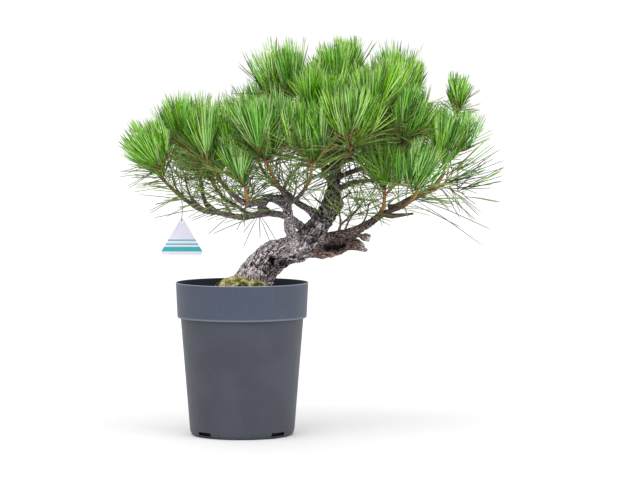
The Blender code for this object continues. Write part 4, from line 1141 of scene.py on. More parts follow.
def needle_mesh(name, rows, thickness):
    roots, aims, bends, shades = rows[:, :3], rows[:, 3:6], rows[:, 6:9], rows[:, 9]
    count = len(rows)
    way = aims / np.linalg.norm(aims, axis=1, keepdims=True)
    side = np.cross(way, np.array(ODD_WAY))
    side /= np.maximum(np.linalg.norm(side, axis=1, keepdims=True), 1e-6)
    third = np.cross(way, side)
    roll = shades[:, None] * NEEDLE_ROLL
    points = np.empty((count, POINTS_IN_NEEDLE, 3))
    along = np.empty((count, POINTS_IN_NEEDLE))
    for ring, (share, girth) in enumerate(NEEDLE_RINGS):
        middle = roots + aims * share + bends * share ** 2
        for corner in range(3):
            turn = roll + corner * math.tau / 3
            spoke = side * np.cos(turn) + third * np.sin(turn)
            points[:, ring * 3 + corner] = middle + spoke * thickness / 2 * girth / MM
            along[:, ring * 3 + corner] = share
    points[:, -1] = roots + aims + bends
    along[:, -1] = 1.0
    faces = [(0, 2, 1)]
    for ring in (0, 3):
        for corner in range(3):
            a, b = ring + corner, ring + (corner + 1) % 3
            faces += [(a, b, b + 3), (a, b + 3, a + 3)]
    faces += [(6 + corner, 6 + (corner + 1) % 3, 9) for corner in range(3)]
    triangles = np.array(faces)[None] + np.arange(count)[:, None, None] * POINTS_IN_NEEDLE
    mesh = triangle_mesh(name, points.reshape(-1, 3), triangles.reshape(-1, 3))
    store_values(mesh, "along", along.ravel())
    store_values(mesh, "shade", np.repeat(shades, POINTS_IN_NEEDLE))
    return mesh


def square_sides(way):
    """Two directions square to one."""
    side = np.cross(way, np.array(SEAM_SIDE))
    side /= np.linalg.norm(side)
    return side, np.cross(way, side)


class Brusher:
    """Grows the needles of one mass, inside its space and clear of the wood."""

    def __init__(self, name, solid):
        self.space = TREE.spaces[name]
        self.lean = TREE.leans[name]
        self.length, tints = TREE.brush_of(name)
        self.share, self.old_share = SPARSE.get(name, (1, 1))
        self.rng = np.random.default_rng(random.Random("brushes of " + name).getrandbits(32))
        dark = DARK_SHARE if self.share < NEARLY_BARE else 0
        self.tints = np.array([*(np.array(tints) / sum(tints) * (1 - dark)), 0, dark])
        self.solid = solid
        self.low = np.array(SOLID_BOX[0]) / MM - OVER_BOX
        self.high = np.array(SOLID_BOX[1]) / MM + OVER_BOX

    def spray(self, start, end, axis, pairs, opening, sizes, rise, bed, limits=YOUNG_LIMITS):
        """Pairs of needles round a stretch of shoot, opening from an axis less and less towards its tip."""
        rng = self.rng
        start, end = np.array(start), np.array(end)
        side, third = square_sides(np.array(axis))
        share = (np.arange(pairs) + rng.uniform(0, 1, pairs)) / pairs
        open_low, open_high = opening
        angle = np.radians(open_low + (open_high - open_low) * share ** OPENING_CURVE
                           + rng.normal(0, OPENING_SPREAD, pairs))
        turn = np.arange(pairs) * GOLDEN_TURN + rng.uniform(0, math.tau) + rng.normal(0, TURN_SPREAD, pairs)
        spoke = side * np.cos(turn)[:, None] + third * np.sin(turn)[:, None]
        aim = np.array(axis) * np.cos(angle)[:, None] + spoke * np.sin(angle)[:, None]
        aim[:, 2] += max(rise, 0) * LIFT
        aim /= np.linalg.norm(aim, axis=1, keepdims=True)
        root = start + (end - start) * share[:, None] + spoke * SPOKE
        length = self.length * rng.uniform(*sizes, pairs)
        split = np.cross(aim, rng.normal(0, 1, (pairs, 3)))
        split /= np.linalg.norm(split, axis=1, keepdims=True)
        gape = np.tan(np.radians(rng.uniform(*PAIR_GAPE, pairs)))
        sway = rng.normal(0, 1, (pairs, 3)) * NEEDLE_SWAY
        shade = rng.uniform(0, 1, pairs)
        for sign in (-1, 1):
            line = aim + split * (sign * gape)[:, None]
            bend = split * sign * PAIR_BEND * gape[:, None] + sway + np.array([0, 0, rise])
            shades = np.clip(shade + sign * PAIR_SHADE, 0, 1)
            self.keep(bed, root, line * length[:, None], bend * length[:, None], shades, limits)

    def brush(self, start, end, pairs, beds):
        """One shoot's young needles near its tip, with a few old ones below them."""
        way = (end - start).normalized()
        axis = way.lerp(self.lean, UPRIGHT_SHARE).normalized()
        low = end - way * min(BRUSH_DEPTH, (end - start).length)
        pairs = max(1, round(pairs * self.share))
        tint = int(self.rng.choice(len(self.tints), p=self.tints))
        self.spray(low, end, axis, pairs, YOUNG_OPENING, YOUNG_SIZES, YOUNG_RISE, beds[tint])
        old = max(1, pairs // YOUNG_TO_OLD)
        self.spray(start, low.lerp(end, 0.5), axis, old, OLD_OPENING, OLD_SIZES, OLD_RISE, beds[OLD],
                   OLD_LIMITS)

    def old_needles(self, path, bed, spacing=OLD_SPACING):
        """Sparse old needles on the last stretch of a branch."""
        for start, end in zip(path, path[1:]):
            way = (end - start).normalized()
            pairs = max(1, round((end - start).length / spacing * self.old_share))
            axis = way.lerp(self.lean, OLD_UPRIGHT_SHARE).normalized()
            self.spray(start, end, axis, pairs, OLD_OPENING, BRANCH_SIZES, BRANCH_RISE, bed, OLD_LIMITS)

    def keep(self, bed, root, line, bend, shade, limits):
        """Adds the needles that fit, at full length or a little shorter."""
        left = np.ones(len(root), bool)
        for size in TRIED_SIZES:
            tip = root + (line + bend) * size
            fits = left & self.space.hold(tip, *limits) & (tip > self.low).all(1) & (tip < self.high).all(1)
            # A needle's shade also stands for two random numbers, which fray the edges of the open spots
            aside = tip[:, 0] + (shade * 5 % 1 - 0.5) * SPOT_FRAY
            up = tip[:, 2] + (shade * 9 % 1 - 0.5) * SPOT_FRAY
            for x_low, x_high, z_low, z_high in OPEN_SPOTS:
                fits &= (aside < x_low) | (aside > x_high) | (up < z_low) | (up > z_high)
            if not fits.any():
                continue
            found = np.flatnonzero(fits)
            checks = [root[found] + (line[found] * s + bend[found] * s * s) * size for s in CHECKED_SHARES]
            clear = self.solid.away(np.vstack(checks)).reshape(len(checks), -1).min(0) > KEEP_OFF_WOOD
            found = found[clear]
            bed.add(root[found], line[found] * size, bend[found] * size, shade[found])
            left[fits] = False


def needle_finish(name, low, high, tip, end, sheath):
    """A green that differs from needle to needle, partly at random and partly as painted light: darker shaded
    needles, paler lit ones and painted glints on the palest, with a papery brown sheath at the root.
    """
    skin = Finish(name, 0.4, 0.4)
    along, shade = skin.attribute("along"), skin.attribute("shade")
    patch = skin.noise(skin.place, 40.0, 2.0)
    # Shaded and lit copies of one green: painted shade on the darkest needles, painted light on the palest
    tone = skin.tinge(low, high, shade, 0.05, 0.7)
    # Painted glints: the palest needles turn whitish
    tone = skin.tinge(tone, tip, shade, 0.55, 0.96, 0.75)
    tone = skin.tinge(tone, low, patch, 0.45, 0.7, 0.25)
    tone = skin.tinge(tone, end, along, 0.74, 1.0, 0.5)
    skin.set("Base Color", skin.tinge(tone, sheath, along, 0.09, 0.03))
    return skin.material


def all_wood():
    return Capsules([TREE.trunk, *TREE.boughs.values(), *TREE.stems.values(), Limb.of_rows(STUB)])


def add_whiskers(rows, bed):
    """Long single needles that hang or stand clear of the crown."""
    rng = np.random.default_rng(WHISKER_SEED)
    roots, tips = (np.array([row[k] for row in rows], float) for k in (0, 1))
    line = tips - roots
    bend = np.zeros_like(line)
    bend[:, 2] = WHISKER_SAG * np.linalg.norm(line, axis=1)
    bed.add(roots, line - bend, bend, rng.uniform(0, 1, len(line)))


def build_needles(look):
    """The brushes of needles, in a piece or more for each tint, and the sparse old needles below them."""
    solid = all_wood()
    beds = [NeedleBed() for _ in range(LONG + 1)]
    for name in TREE.stems:
        brusher = Brusher(name, solid)
        for start, end in TREE.shoots[name]:
            brusher.brush(start, end, look.pairs, beds)
        for start, end in TREE.twigs[name]:
            brusher.brush(start, end, look.twig_pairs, beds)
        path = TREE.branches[name].path
        brusher.old_needles(path[len(path) // BARE_PART:], beds[OLD])
    for name, rows in GREY_TWIGS:
        Brusher(name, solid).old_needles(Limb.of_rows(rows[1:]).path, beds[OLD], TWIG_SPACING)
    add_whiskers(WHISKERS, beds[LONG])
    add_whiskers(SIDE_NEEDLES, beds[OLD])
    for tint, bed in zip((*GREENS, "old", "long"), beds):
        colour, green = getattr(look, tint), tint in GREENS
        # A spray's darkest and palest needles are shaded and lit copies of its colour
        low = tuple(v * (look.darkest if green else OLD_DARKEST) for v in colour)
        high = tuple(v * look.palest for v in colour)
        # Young needles get painted glints; old and long ones none
        glint = look.tip if green else high
        material = needle_finish(tint + " needles", low, high, glint, look.end, look.sheath)
        for mesh in bed.meshes("needles_" + tint, look.thickness):
            finish_piece(add_object(mesh.name, mesh), MASS_NODES, material)


# Pot and what is in it


def soften(profile, reach, steps=4):
    """A profile with each inner corner eased into a short curve."""
    found = [profile[0]]
    for before, corner, after in zip(profile, profile[1:], profile[2:]):
        before, corner, after = (Vector(point) for point in (before, corner, after))
        start = corner + (before - corner).normalized() * min(reach, (before - corner).length * 0.45)
        end = corner + (after - corner).normalized() * min(reach, (after - corner).length * 0.45)
        for k in range(steps + 1):
            t = k / steps
            found.append(tuple(start * (1 - t) ** 2 + corner * 2 * t * (1 - t) + end * t * t))
    return [*found, profile[-1]]


def turned_mesh(name, profile, steps):
    """A profile of radius and height, from the axis outward and back to it, turned into a closed mesh."""
    work = bmesh.new()
    rings = []
    for radius, height in profile:
        count = 1 if radius < 1e-6 else steps
        rings.append([work.verts.new(Vector((radius * math.cos(math.tau * k / count),
                                             radius * math.sin(math.tau * k / count), height)) * MM)
                      for k in range(count)])
    for low, high in zip(rings, rings[1:]):
        for k in range(steps):
            corners = [low[k % len(low)], low[(k + 1) % len(low)],
                       high[(k + 1) % len(high)], high[k % len(high)]]
            unique = list(dict.fromkeys(corners))
            if len(unique) > 2:
                work.faces.new(unique)
    bmesh.ops.recalc_face_normals(work, faces=work.faces)
    return plain_mesh(work, name)


def inner_radius(height):
    """The pot's inner wall, below its band."""
    share = (height - FOOT_CORNER) / (BAND_FOOT - FOOT_CORNER)
    return BODY_FOOT_RADIUS + (BODY_TOP_RADIUS - BODY_FOOT_RADIUS) * share - WALL


def box_at(reach, width, heights, turn):
    """A box from one distance to another from the axis, turned round it."""
    size = Vector((reach[1] - reach[0], width, heights[1] - heights[0]))
    middle = Vector((sum(reach) / 2, 0, sum(heights) / 2))
    place = (Matrix.Rotation(turn, 4, "Z") @ Matrix.Translation(middle * MM)
             @ Matrix.Diagonal((*(size * MM), 1)))
    work = bmesh.new()
    bmesh.ops.create_cube(work, size=1, matrix=place)
    return plain_mesh(work, "cutter")


def build_pot(look):
    """The turned pot with its band and rounded lip, and the slots and arches cut in its foot."""
    outside = (
        (RIM_RADIUS - WALL + 0.2, POT_HEIGHT - 0.9),
        (RIM_RADIUS - WALL + 0.6, POT_HEIGHT),
        (RIM_RADIUS, POT_HEIGHT),
        (RIM_RADIUS, POT_HEIGHT - 1.6),
        (RIM_RADIUS - 0.35, POT_HEIGHT - 2.2),
        (BAND_FOOT_RADIUS, BAND_FOOT + LEDGE_HEIGHT),
        (BAND_FOOT_RADIUS - 0.3, BAND_FOOT),
        (BODY_TOP_RADIUS + 0.2, BAND_FOOT - 0.2),
        (BODY_TOP_RADIUS - 0.1, BAND_FOOT - 3.0),
        (BODY_FOOT_RADIUS, FOOT_CORNER),
        *((BODY_FOOT_RADIUS - inward, FOOT_CORNER - down) for inward, down in HEEL),
        (FOOT_RADIUS, 0),
        (FOOT_RADIUS - 3, 0),
        (FOOT_RADIUS - 4, 1.2),
        (0, 1.2),
    )
    inside = (
        (0, FLOOR),
        (FOOT_RADIUS - 1, FLOOR),
        (BODY_FOOT_RADIUS - WALL, FOOT_CORNER),
        (inner_radius(BAND_FOOT), BAND_FOOT + INNER_LEDGE[0]),
        (BAND_FOOT_RADIUS - WALL, BAND_FOOT + INNER_LEDGE[1]),
    )
    profile = soften([*inside, *outside], CORNER_REACH)
    pot = add_object("pot_shell", turned_mesh("pot_shell", profile, POT_STEPS))
    cutters = []
    for k in range(SLOT_COUNT):
        turn = math.radians(FIRST_SLOT + 360 / SLOT_COUNT * k)
        cutters.append(box_at((SLOT_REACH, CUTTER_REACH), SLOT_WIDTH, (FLOOR, FLOOR + SLOT_HEIGHT), turn))
        cutters.append(box_at((ARCH_REACH, CUTTER_REACH), ARCH_WIDTH, (-ARCH_HEIGHT, ARCH_HEIGHT), turn))
    for mesh in cutters:
        cutter = add_object("cutter", mesh)
        cut = pot.modifiers.new("cut", "BOOLEAN")
        cut.operation, cut.solver, cut.object = "DIFFERENCE", "EXACT", cutter
        bake_modifiers(pot)
        bpy.data.objects.remove(cutter, do_unlink=True)
    place = mesh_places(pot.data)
    radius = np.hypot(place[:, 0], place[:, 1])
    wall = np.interp(place[:, 2], [FOOT_CORNER, BAND_FOOT - 0.5, BAND_FOOT + 0.5, POT_HEIGHT],
                     [BODY_FOOT_RADIUS, BODY_TOP_RADIUS, BAND_FOOT_RADIUS, RIM_RADIUS])
    # The inner wall is marked to carry painted shade
    shaded_inner_wall = (radius < wall - 1.5) & (place[:, 2] > FLOOR - 0.5) & (place[:, 2] < POT_HEIGHT - 0.05)
    store_values(pot.data, "inside", shaded_inner_wall)
    smooth_by_angle(pot.data, POT_SHARP)
    finish_piece(pot, ["pot"], pot_finish(look))


def bake_modifiers(made):
    """Turns a piece's modifiers into its mesh."""
    bpy.context.view_layer.update()
    mesh = bpy.data.meshes.new_from_object(made.evaluated_get(bpy.context.evaluated_depsgraph_get()))
    made.modifiers.clear()
    old, made.data = made.data, mesh
    bpy.data.meshes.remove(old)
    mesh.name = made.name


def pot_finish(look):
    """Matte moulded plastic with faint upright scuffs on its band, a paler lip and ledge that are painted
    highlights, and an inner wall painted dark as shade.
    """
    skin = Finish("pot plastic", 0.5, 0.35)
    height = skin.axis("Z")
    speck = skin.noise(skin.place, 1800.0, 2.0)
    cloud = skin.noise(skin.place, 16.0, 3.0)
    scuff = skin.noise(skin.vector("MULTIPLY", skin.place, SCUFF_SCALES), 1.0, 4.0, 0.75)
    band = skin.smooth(height, (BAND_FOOT - 0.5) * MM, (BAND_FOOT + 0.5) * MM)
    tone = skin.tinge(look.body, look.body_dark, cloud, 0.35, 0.65)
    tone = skin.mix(band * 0.55, tone, look.band)
    tone = skin.mix(skin.smooth(scuff, 0.56, 0.78, 0.0, 0.35) * band, tone, look.scuff)
    # Painted highlight along the top of the rim
    rim = skin.smooth(height, (POT_HEIGHT - 1.5) * MM, (POT_HEIGHT - 0.4) * MM, 0.0, 0.6)
    tone = skin.mix(rim, tone, look.lip)
    # Painted highlight along the ledge at the band's foot
    ledge = band * skin.smooth(height, (BAND_FOOT + 3.5) * MM, (BAND_FOOT + 2.0) * MM, 0.0, 0.25)
    tone = skin.mix(ledge, tone, look.lip)
    # Painted shade: the inner wall is painted dark navy
    skin.set("Base Color", skin.mix(skin.attribute("inside"), tone, look.inside))
    skin.set("Roughness", skin.smooth(scuff, 0.3, 0.7, 0.42, 0.6))
    skin.bump(speck * 0.5 + scuff, 0.00012, 0.6)
    return skin.material


def lump(place, scales):
    """How far a place is raised by noise at each of some scales."""
    return sum(noise.noise(place * scale) * height for scale, height in scales)


def mound_height(x, y):
    """How high the moss mound rises over the soil at each place, 0 beside it."""
    turn = np.arctan2(y - MOUND_CENTRE.y, x - MOUND_CENTRE.x)
    swell = 1 + MOUND_SWELL * np.sin(MOUND_LOBES * turn + 1)
    along = (x - MOUND_CENTRE.x) / (MOUND_RADII.x * swell)
    aside = (y - MOUND_CENTRE.y) / (MOUND_RADII.y * swell)
    return MOUND_RADII.z * np.sqrt(np.maximum(1 - (along ** 2 + aside ** 2), 0.0))


def scatter_recipe(name, bit, inputs, upright):
    """Copies of a small bit dealt out over a surface's upper side, each turned and sized at random."""
    recipe = Recipe(name, {"Density": 100000.0, "Least Size": 0.8, "Most Size": 1.3, "Seed": 1,
                           "Material": None, **inputs})
    seed = recipe.input("Seed")
    up = recipe.part(recipe.add("GeometryNodeInputNormal"), "Z")
    spread = recipe.add("GeometryNodeDistributePointsOnFaces", {"distribute_method": "RANDOM"},
                        {0: recipe.input("Geometry"), "Selection": up > 0.25,
                         "Density": recipe.input("Density"), "Seed": seed})
    turns = ((-0.5, -0.5, 0.0), (0.5, 0.5, math.tau)) if upright else ((0.0,) * 3, (math.tau,) * 3)
    tilt = recipe.random(*turns, seed + 1)
    size = recipe.random(recipe.input("Least Size"), recipe.input("Most Size"), seed + 2)
    stretch = recipe.random((0.7, 0.7, 0.6), (1.3, 1.3, 1.2), seed + 3)
    copies = recipe.add("GeometryNodeInstanceOnPoints", None,
                        {0: spread, "Instance": bit(recipe), "Rotation": tilt,
                         "Scale": recipe.scaled(stretch, size)})
    copies = recipe.store(copies, "shade", recipe.random(0.0, 1.0, seed + 4), domain="INSTANCE")
    return recipe.end(copies, smooth=upright)


def scatter(ground, name, bit, inputs, upright, values):
    """A piece of small bits strewn over another piece."""
    recipe = scatter_recipe(name, bit, inputs, upright)
    return cook(add_object(name, ground.data.copy()), recipe, name, values)


def grit_bit(recipe):
    return recipe.add("GeometryNodeMeshIcoSphere", None,
                      {"Radius": recipe.input("Bit Size"), "Subdivisions": 1})


def moss_bit(recipe):
    """A leafy moss shoot, as a thin cone that stands on its point's place."""
    return recipe.add("GeometryNodeMeshCone", None,
                      {"Vertices": 5, "Radius Top": 0.0, "Radius Bottom": recipe.input("Bit Size"),
                       "Depth": recipe.input("Bit Length")})


def ground_finish(name, first, second, third):
    """Bits of ground in three colours, dealt out by each bit's own shade."""
    skin = Finish(name, 0.95, 0.2)
    shade = skin.attribute("shade")
    grain = skin.noise(skin.place, 1400.0, 3.0)
    patch = skin.smooth(skin.noise(skin.place, 90.0, 3.0), 0.36, 0.64)
    tone = skin.ramp(shade * 0.35 + patch * 0.65, (0.15, first), (0.5, second), (0.85, third))
    skin.set("Base Color", skin.tinge(tone, first, grain, 0.5, 0.75, 0.5))
    skin.bump(grain, 0.0004, 0.8)
    return skin.material


def build_soil(look):
    """The soil's uneven top in the pot, strewn with grit."""
    slope = (RIM_RADIUS - BAND_FOOT_RADIUS) / BAND_HEIGHT
    edge = BAND_FOOT_RADIUS + slope * (SOIL_TOP - BAND_FOOT) - WALL - SOIL_GAP
    profile = (
        *((edge * k / SOIL_RINGS, SOIL_TOP) for k in range(SOIL_RINGS + 1)),
        (BAND_FOOT_RADIUS - WALL - SOIL_GAP, BAND_FOOT + INNER_LEDGE[1] + 1),
        (inner_radius(BAND_FOOT) - SOIL_GAP, BAND_FOOT + INNER_LEDGE[0] + 1),
        (BODY_FOOT_RADIUS - WALL - SOIL_GAP, FOOT_CORNER + 1),
        (FOOT_RADIUS - 2, FLOOR + GAP),
        (0, FLOOR + GAP),
    )
    mesh = turned_mesh("soil_bed", profile, SOIL_STEPS)
    for vertex in mesh.vertices:
        place = vertex.co / MM
        if place.z > SOIL_TOP - 0.5:
            vertex.co.z += lump(place, SOIL_LUMPS) * MM
    soil = add_object("soil_bed", mesh)
    smooth_by_angle(mesh, GROUND_SHARP)
    grit = scatter(soil, "soil_grit", grit_bit, {"Bit Size": 0.0013}, False, {
        "Density": look.grit_density, "Least Size": 0.5, "Most Size": 1.9, "Seed": 4,
        "Material": ground_finish("grit", look.soil_dark, look.soil, look.soil_pale),
    })
    finish_piece(soil, ["soil"], ground_finish("soil", look.soil_dark, look.soil_dark, look.soil))
    finish_piece(grit, ["soil"])


def build_moss(look):
    """A mound of cushion moss against the trunk's foot, with fallen needles on it."""
    foot = math.acos(-MOUND_SUNK / MOUND_RADII.z)
    centre = MOUND_CENTRE + Vector((0, 0, SOIL_TOP + GAP))
    points = []
    for ring in range(MOUND_RINGS + 1):
        fall = foot * ring / MOUND_RINGS
        for turn in np.arange(MOUND_SIDES if ring else 1) * math.tau / MOUND_SIDES:
            reach = math.sin(fall) * (1 + MOUND_SWELL * math.sin(MOUND_LOBES * turn + 1))
            place = Vector((math.cos(turn) * reach * MOUND_RADII.x, math.sin(turn) * reach * MOUND_RADII.y,
                            math.cos(fall) * MOUND_RADII.z))
            place *= 1 + lump(place, MOUND_LUMPS) / LUMP_REACH
            if ring == MOUND_RINGS:
                place.z = -MOUND_SUNK
            points.append((centre + place) * MM)
    after = [(side + 1) % MOUND_SIDES for side in range(MOUND_SIDES)]
    faces = [(0, 1 + side, 1 + after[side]) for side in range(MOUND_SIDES)]
    for row in range(1, 1 + MOUND_SIDES * (MOUND_RINGS - 1), MOUND_SIDES):
        faces += [(row + side, row + MOUND_SIDES + side, row + MOUND_SIDES + after[side], row + after[side])
                  for side in range(MOUND_SIDES)]
    faces.append(tuple(reversed(range(len(points) - MOUND_SIDES, len(points)))))
    mesh = bpy.data.meshes.new("moss_mound")
    mesh.from_pydata(points, [], faces)
    smooth_by_angle(mesh, GROUND_SHARP)
    mound = add_object("moss_mound", mesh)
    tufts = scatter(mound, "moss_tufts", moss_bit, {"Bit Size": 0.0007, "Bit Length": 0.0042}, True, {
        "Density": look.moss_density, "Least Size": 0.6, "Most Size": 1.2, "Seed": 9,
        "Material": ground_finish("moss tufts", look.moss_dark, look.moss, look.moss_pale),
    })
    bed = ground_finish("moss bed", look.moss_dark, look.moss_dark, look.moss)
    finish_piece(mound, ["moss"], bed)
    finish_piece(tufts, ["moss"])
    build_straw(look)


def build_straw(look):
    """Fallen dry needles lying on the moss and the soil."""
    rng = np.random.default_rng(STRAW_SEED)
    count = look.straw
    turn, reach = rng.uniform(0, math.tau, count), np.sqrt(rng.uniform(0, 1, count))
    near = rng.uniform(0, 1, count) < STRAW_NEAR
    spread = np.where(near, *STRAW_SPREADS)
    middle = np.column_stack([np.where(near, MOUND_CENTRE.x, 0) + spread * reach * np.cos(turn),
                              np.where(near, MOUND_CENTRE.y, 0) + spread * reach * np.sin(turn)])
    way = rng.uniform(0, math.tau, count)
    half = np.column_stack([np.cos(way), np.sin(way)]) * rng.uniform(*STRAW_HALF_LENGTHS, count)[:, None]
    ends = []
    for sign in (-1, 1):
        spot = middle + half * sign
        ends.append(np.column_stack([spot, SOIL_TOP + STRAW_FOOT + mound_height(spot[:, 0], spot[:, 1])]))
    crest = SOIL_TOP + STRAW_CREST + mound_height(middle[:, 0], middle[:, 1])
    line = ends[1] - ends[0]
    sag = crest - (ends[0][:, 2] + ends[1][:, 2]) / 2
    bend = np.zeros((count, 3))
    bend[:, 2] = -2 * np.clip(sag, 0, STRAW_SAG)
    bed = NeedleBed()
    bed.add(ends[0], line - bend, bend, rng.uniform(0, 1, count))
    material = needle_finish("straw", look.straw_dark, look.straw_pale, *[look.straw_dark] * 3)
    for mesh in bed.meshes("fallen_needles", STRAW_THICKNESS):
        finish_piece(add_object(mesh.name, mesh), ["moss"], material)


# Tag


def tag_finish(look):
    """Lilac-white sheet plastic with plain stripes across its foot."""
    skin = Finish("tag plastic", 0.35, 0.5)
    height = skin.axis("Z")
    cloud = skin.noise(skin.place, 60.0, 2.0)
    tone = skin.tinge(look.plastic, look.plastic_shade, cloud, 0.3, 0.7, 0.5)
    stripes = 0.0
    for low, high in TAG_STRIPES:
        stripes = stripes + (height > low) * (height < high)
    skin.set("Base Color", skin.mix(stripes, tone, look.stripe))
    skin.bump(skin.noise(skin.place, 500.0, 2.0), 0.00008, 0.5)
    return skin.material


def wire_recipe():
    """Two strands of wire twisted together along a curve."""
    recipe = Recipe("twisted wire", {"Strand Radius": 0.0003, "Twist Length": 0.003, "Step": 0.0004,
                                     "Material": None})
    line = recipe.add("GeometryNodeResampleCurve", {"mode": "LENGTH"},
                      {0: recipe.input("Geometry"), "Length": recipe.input("Step")})
    along = recipe.add("GeometryNodeSplineParameter", None, None, "Length")
    normal = recipe.add("GeometryNodeInputNormal")
    third = recipe.vector("CROSS_PRODUCT", recipe.add("GeometryNodeInputTangent"), normal)
    circle = recipe.add("GeometryNodeCurvePrimitiveCircle", None,
                        {"Resolution": 6, "Radius": recipe.input("Strand Radius")})
    join = recipe.tree.nodes.new("GeometryNodeJoinGeometry")
    for start in (0.0, math.pi):
        turn = along / recipe.input("Twist Length") * math.tau + start
        aside = recipe.vector("ADD", recipe.scaled(normal, turn.maths("COSINE")),
                              recipe.scaled(third, turn.maths("SINE")))
        offset = recipe.scaled(aside, recipe.input("Strand Radius"))
        strand = recipe.add("GeometryNodeSetPosition", None, {0: line, "Offset": offset})
        strand = recipe.add("GeometryNodeCurveToMesh", None,
                            {"Curve": strand, "Profile Curve": circle, "Fill Caps": True})
        recipe.tree.links.new(strand.link, join.inputs[0])
    return recipe.end(Socket(recipe, join.outputs[0]))


def tie_paths():
    """The wire's loop round the twig, its straight length and its loop through the tag."""
    twig = TREE.boughs["left_tip_bough"]
    for before, after in zip(twig.path, twig.path[1:]):
        if after.x <= TAG_HOLE.x <= before.x:
            seat = before.lerp(after, (TAG_HOLE.x - before.x) / (after.x - before.x))
            axis = Vector((after.x - before.x, after.y - before.y, 0)).normalized()
    low_centre = TAG_HOLE + Vector((0, 0, LOW_LOOP - TAG_HOLE_RADIUS + TIE_RADIUS * 2))
    loops = [[centre + across(way, math.tau * k / LOOP_STEPS) * radius for k in range(LOOP_STEPS + 1)]
             for centre, way, radius in ((seat, axis, TOP_LOOP), (low_centre, Vector((1, 0, 0)), LOW_LOOP))]
    foot, head = max(loops[1], key=lambda p: p.z), min(loops[0], key=lambda p: p.z)
    middle = foot.lerp(head, 0.5) + Vector((0.9, 0, 0))
    return [*loops, smooth_path([foot, middle, head], 2.0)]


def build_tag(look):
    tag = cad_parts["tag"]
    tag.data.materials.clear()
    tag.data.materials.append(tag_finish(look))
    curve = bpy.data.curves.new("tie_wire", "CURVE")
    curve.dimensions = "3D"
    for path in tie_paths():
        spline = curve.splines.new("POLY")
        spline.points.add(len(path) - 1)
        for point, place in zip(spline.points, path):
            point.co = (*(place * MM), 1)
    wire = Finish("tie wire", 0.45, 0.5)
    scuff = wire.noise(wire.place, 900.0, 3.0)
    wire.set("Base Color", wire.tinge(look.wire, look.wire_scuff, scuff, 0.4, 0.7))
    tie = cook(add_object("tie_wire", curve), wire_recipe(), "tie_wire", {"Material": wire.material})
    finish_piece(tie, ["tag_tie"])


# Studio


def aim(made, way):
    """Turns a light or the camera to look one way."""
    made.rotation_mode = "QUATERNION"
    made.rotation_quaternion = way.to_track_quat("-Z", "Y")


def build_studio(studio):
    """A plain pale floor, soft light from all round and from above, and the photograph's camera."""
    scene = bpy.context.scene
    scene.view_settings.view_transform = "Standard"
    work = bmesh.new()
    bmesh.ops.create_grid(work, x_segments=2, y_segments=2, size=FLOOR_SIZE)
    floor = add_object("floor", plain_mesh(work, "floor"))
    paint = Finish("floor", 0.9, 0.1)
    cloud = paint.noise(paint.place, 0.7, 2.0)
    paint.set("Base Color", paint.mix(cloud * 0.1, studio.floor, (0.6, 0.6, 0.6)))
    floor.data.materials.append(paint.material)

    world = bpy.data.worlds.new("studio")
    scene.world = world
    world.use_nodes = True
    sky = world.node_tree.nodes["Background"]
    sky.inputs["Color"].default_value = (1, 1, 1, 1)
    sky.inputs["Strength"].default_value = studio.sky

    for name, angle, way in LIGHTS:
        light = bpy.data.lights.new(name + " light", "SUN")
        light.energy = getattr(studio, name)
        light.angle = math.radians(angle)
        aim(add_object(light.name, light), Vector(way))

    place, target = Vector(CAMERA_PLACE) * MM, Vector(CAMERA_TARGET) * MM
    camera = bpy.data.cameras.new("camera")
    camera.sensor_width = SENSOR_WIDTH
    depth = abs(place.y)
    camera.lens = SENSOR_WIDTH * (depth / (PIXEL_SIZE * MM)) / PHOTO_WIDTH * ((target - place).length / depth)
    camera.clip_end = 200.0
    seat = add_object("camera", camera)
    seat.location = place
    aim(seat, target - place)
    scene.camera = seat


# Settings


def colour_field(name, description, red, green, blue):
    return bpy.props.FloatVectorProperty(name=name, description=description, subtype="COLOR", size=3,
                                         min=0, max=1, default=linear(red, green, blue))


def length_field(name, description, millimetres):
    return bpy.props.FloatProperty(name=name, description=description, subtype="DISTANCE", unit="LENGTH",
                                   min=0, default=millimetres * MM)


def count_field(name, description, default):
    return bpy.props.IntProperty(name=name, description=description, min=0, default=default)


def amount_field(name, description, default):
    return bpy.props.FloatProperty(name=name, description=description, min=0, default=default)


class BonsaiPot(bpy.types.PropertyGroup):
    """Colours of the pot"""

    body: colour_field("Body", "Plastic below the band", 60, 63, 73)
    body_dark: colour_field("Body, dark", "Darker clouds in the plastic", 54, 57, 66)
    band: colour_field("Band", "Plastic of the band", 62, 72, 91)
    scuff: colour_field("Scuffs", "Upright scuffs on the band", 110, 118, 132)
    # Painted highlight on the rim and the ledge
    lip: colour_field("Lip", "Worn edge of the rim", 150, 156, 166)
    # Painted shade of the inner wall
    inside: colour_field("Inside", "Inner wall", 8, 22, 40)


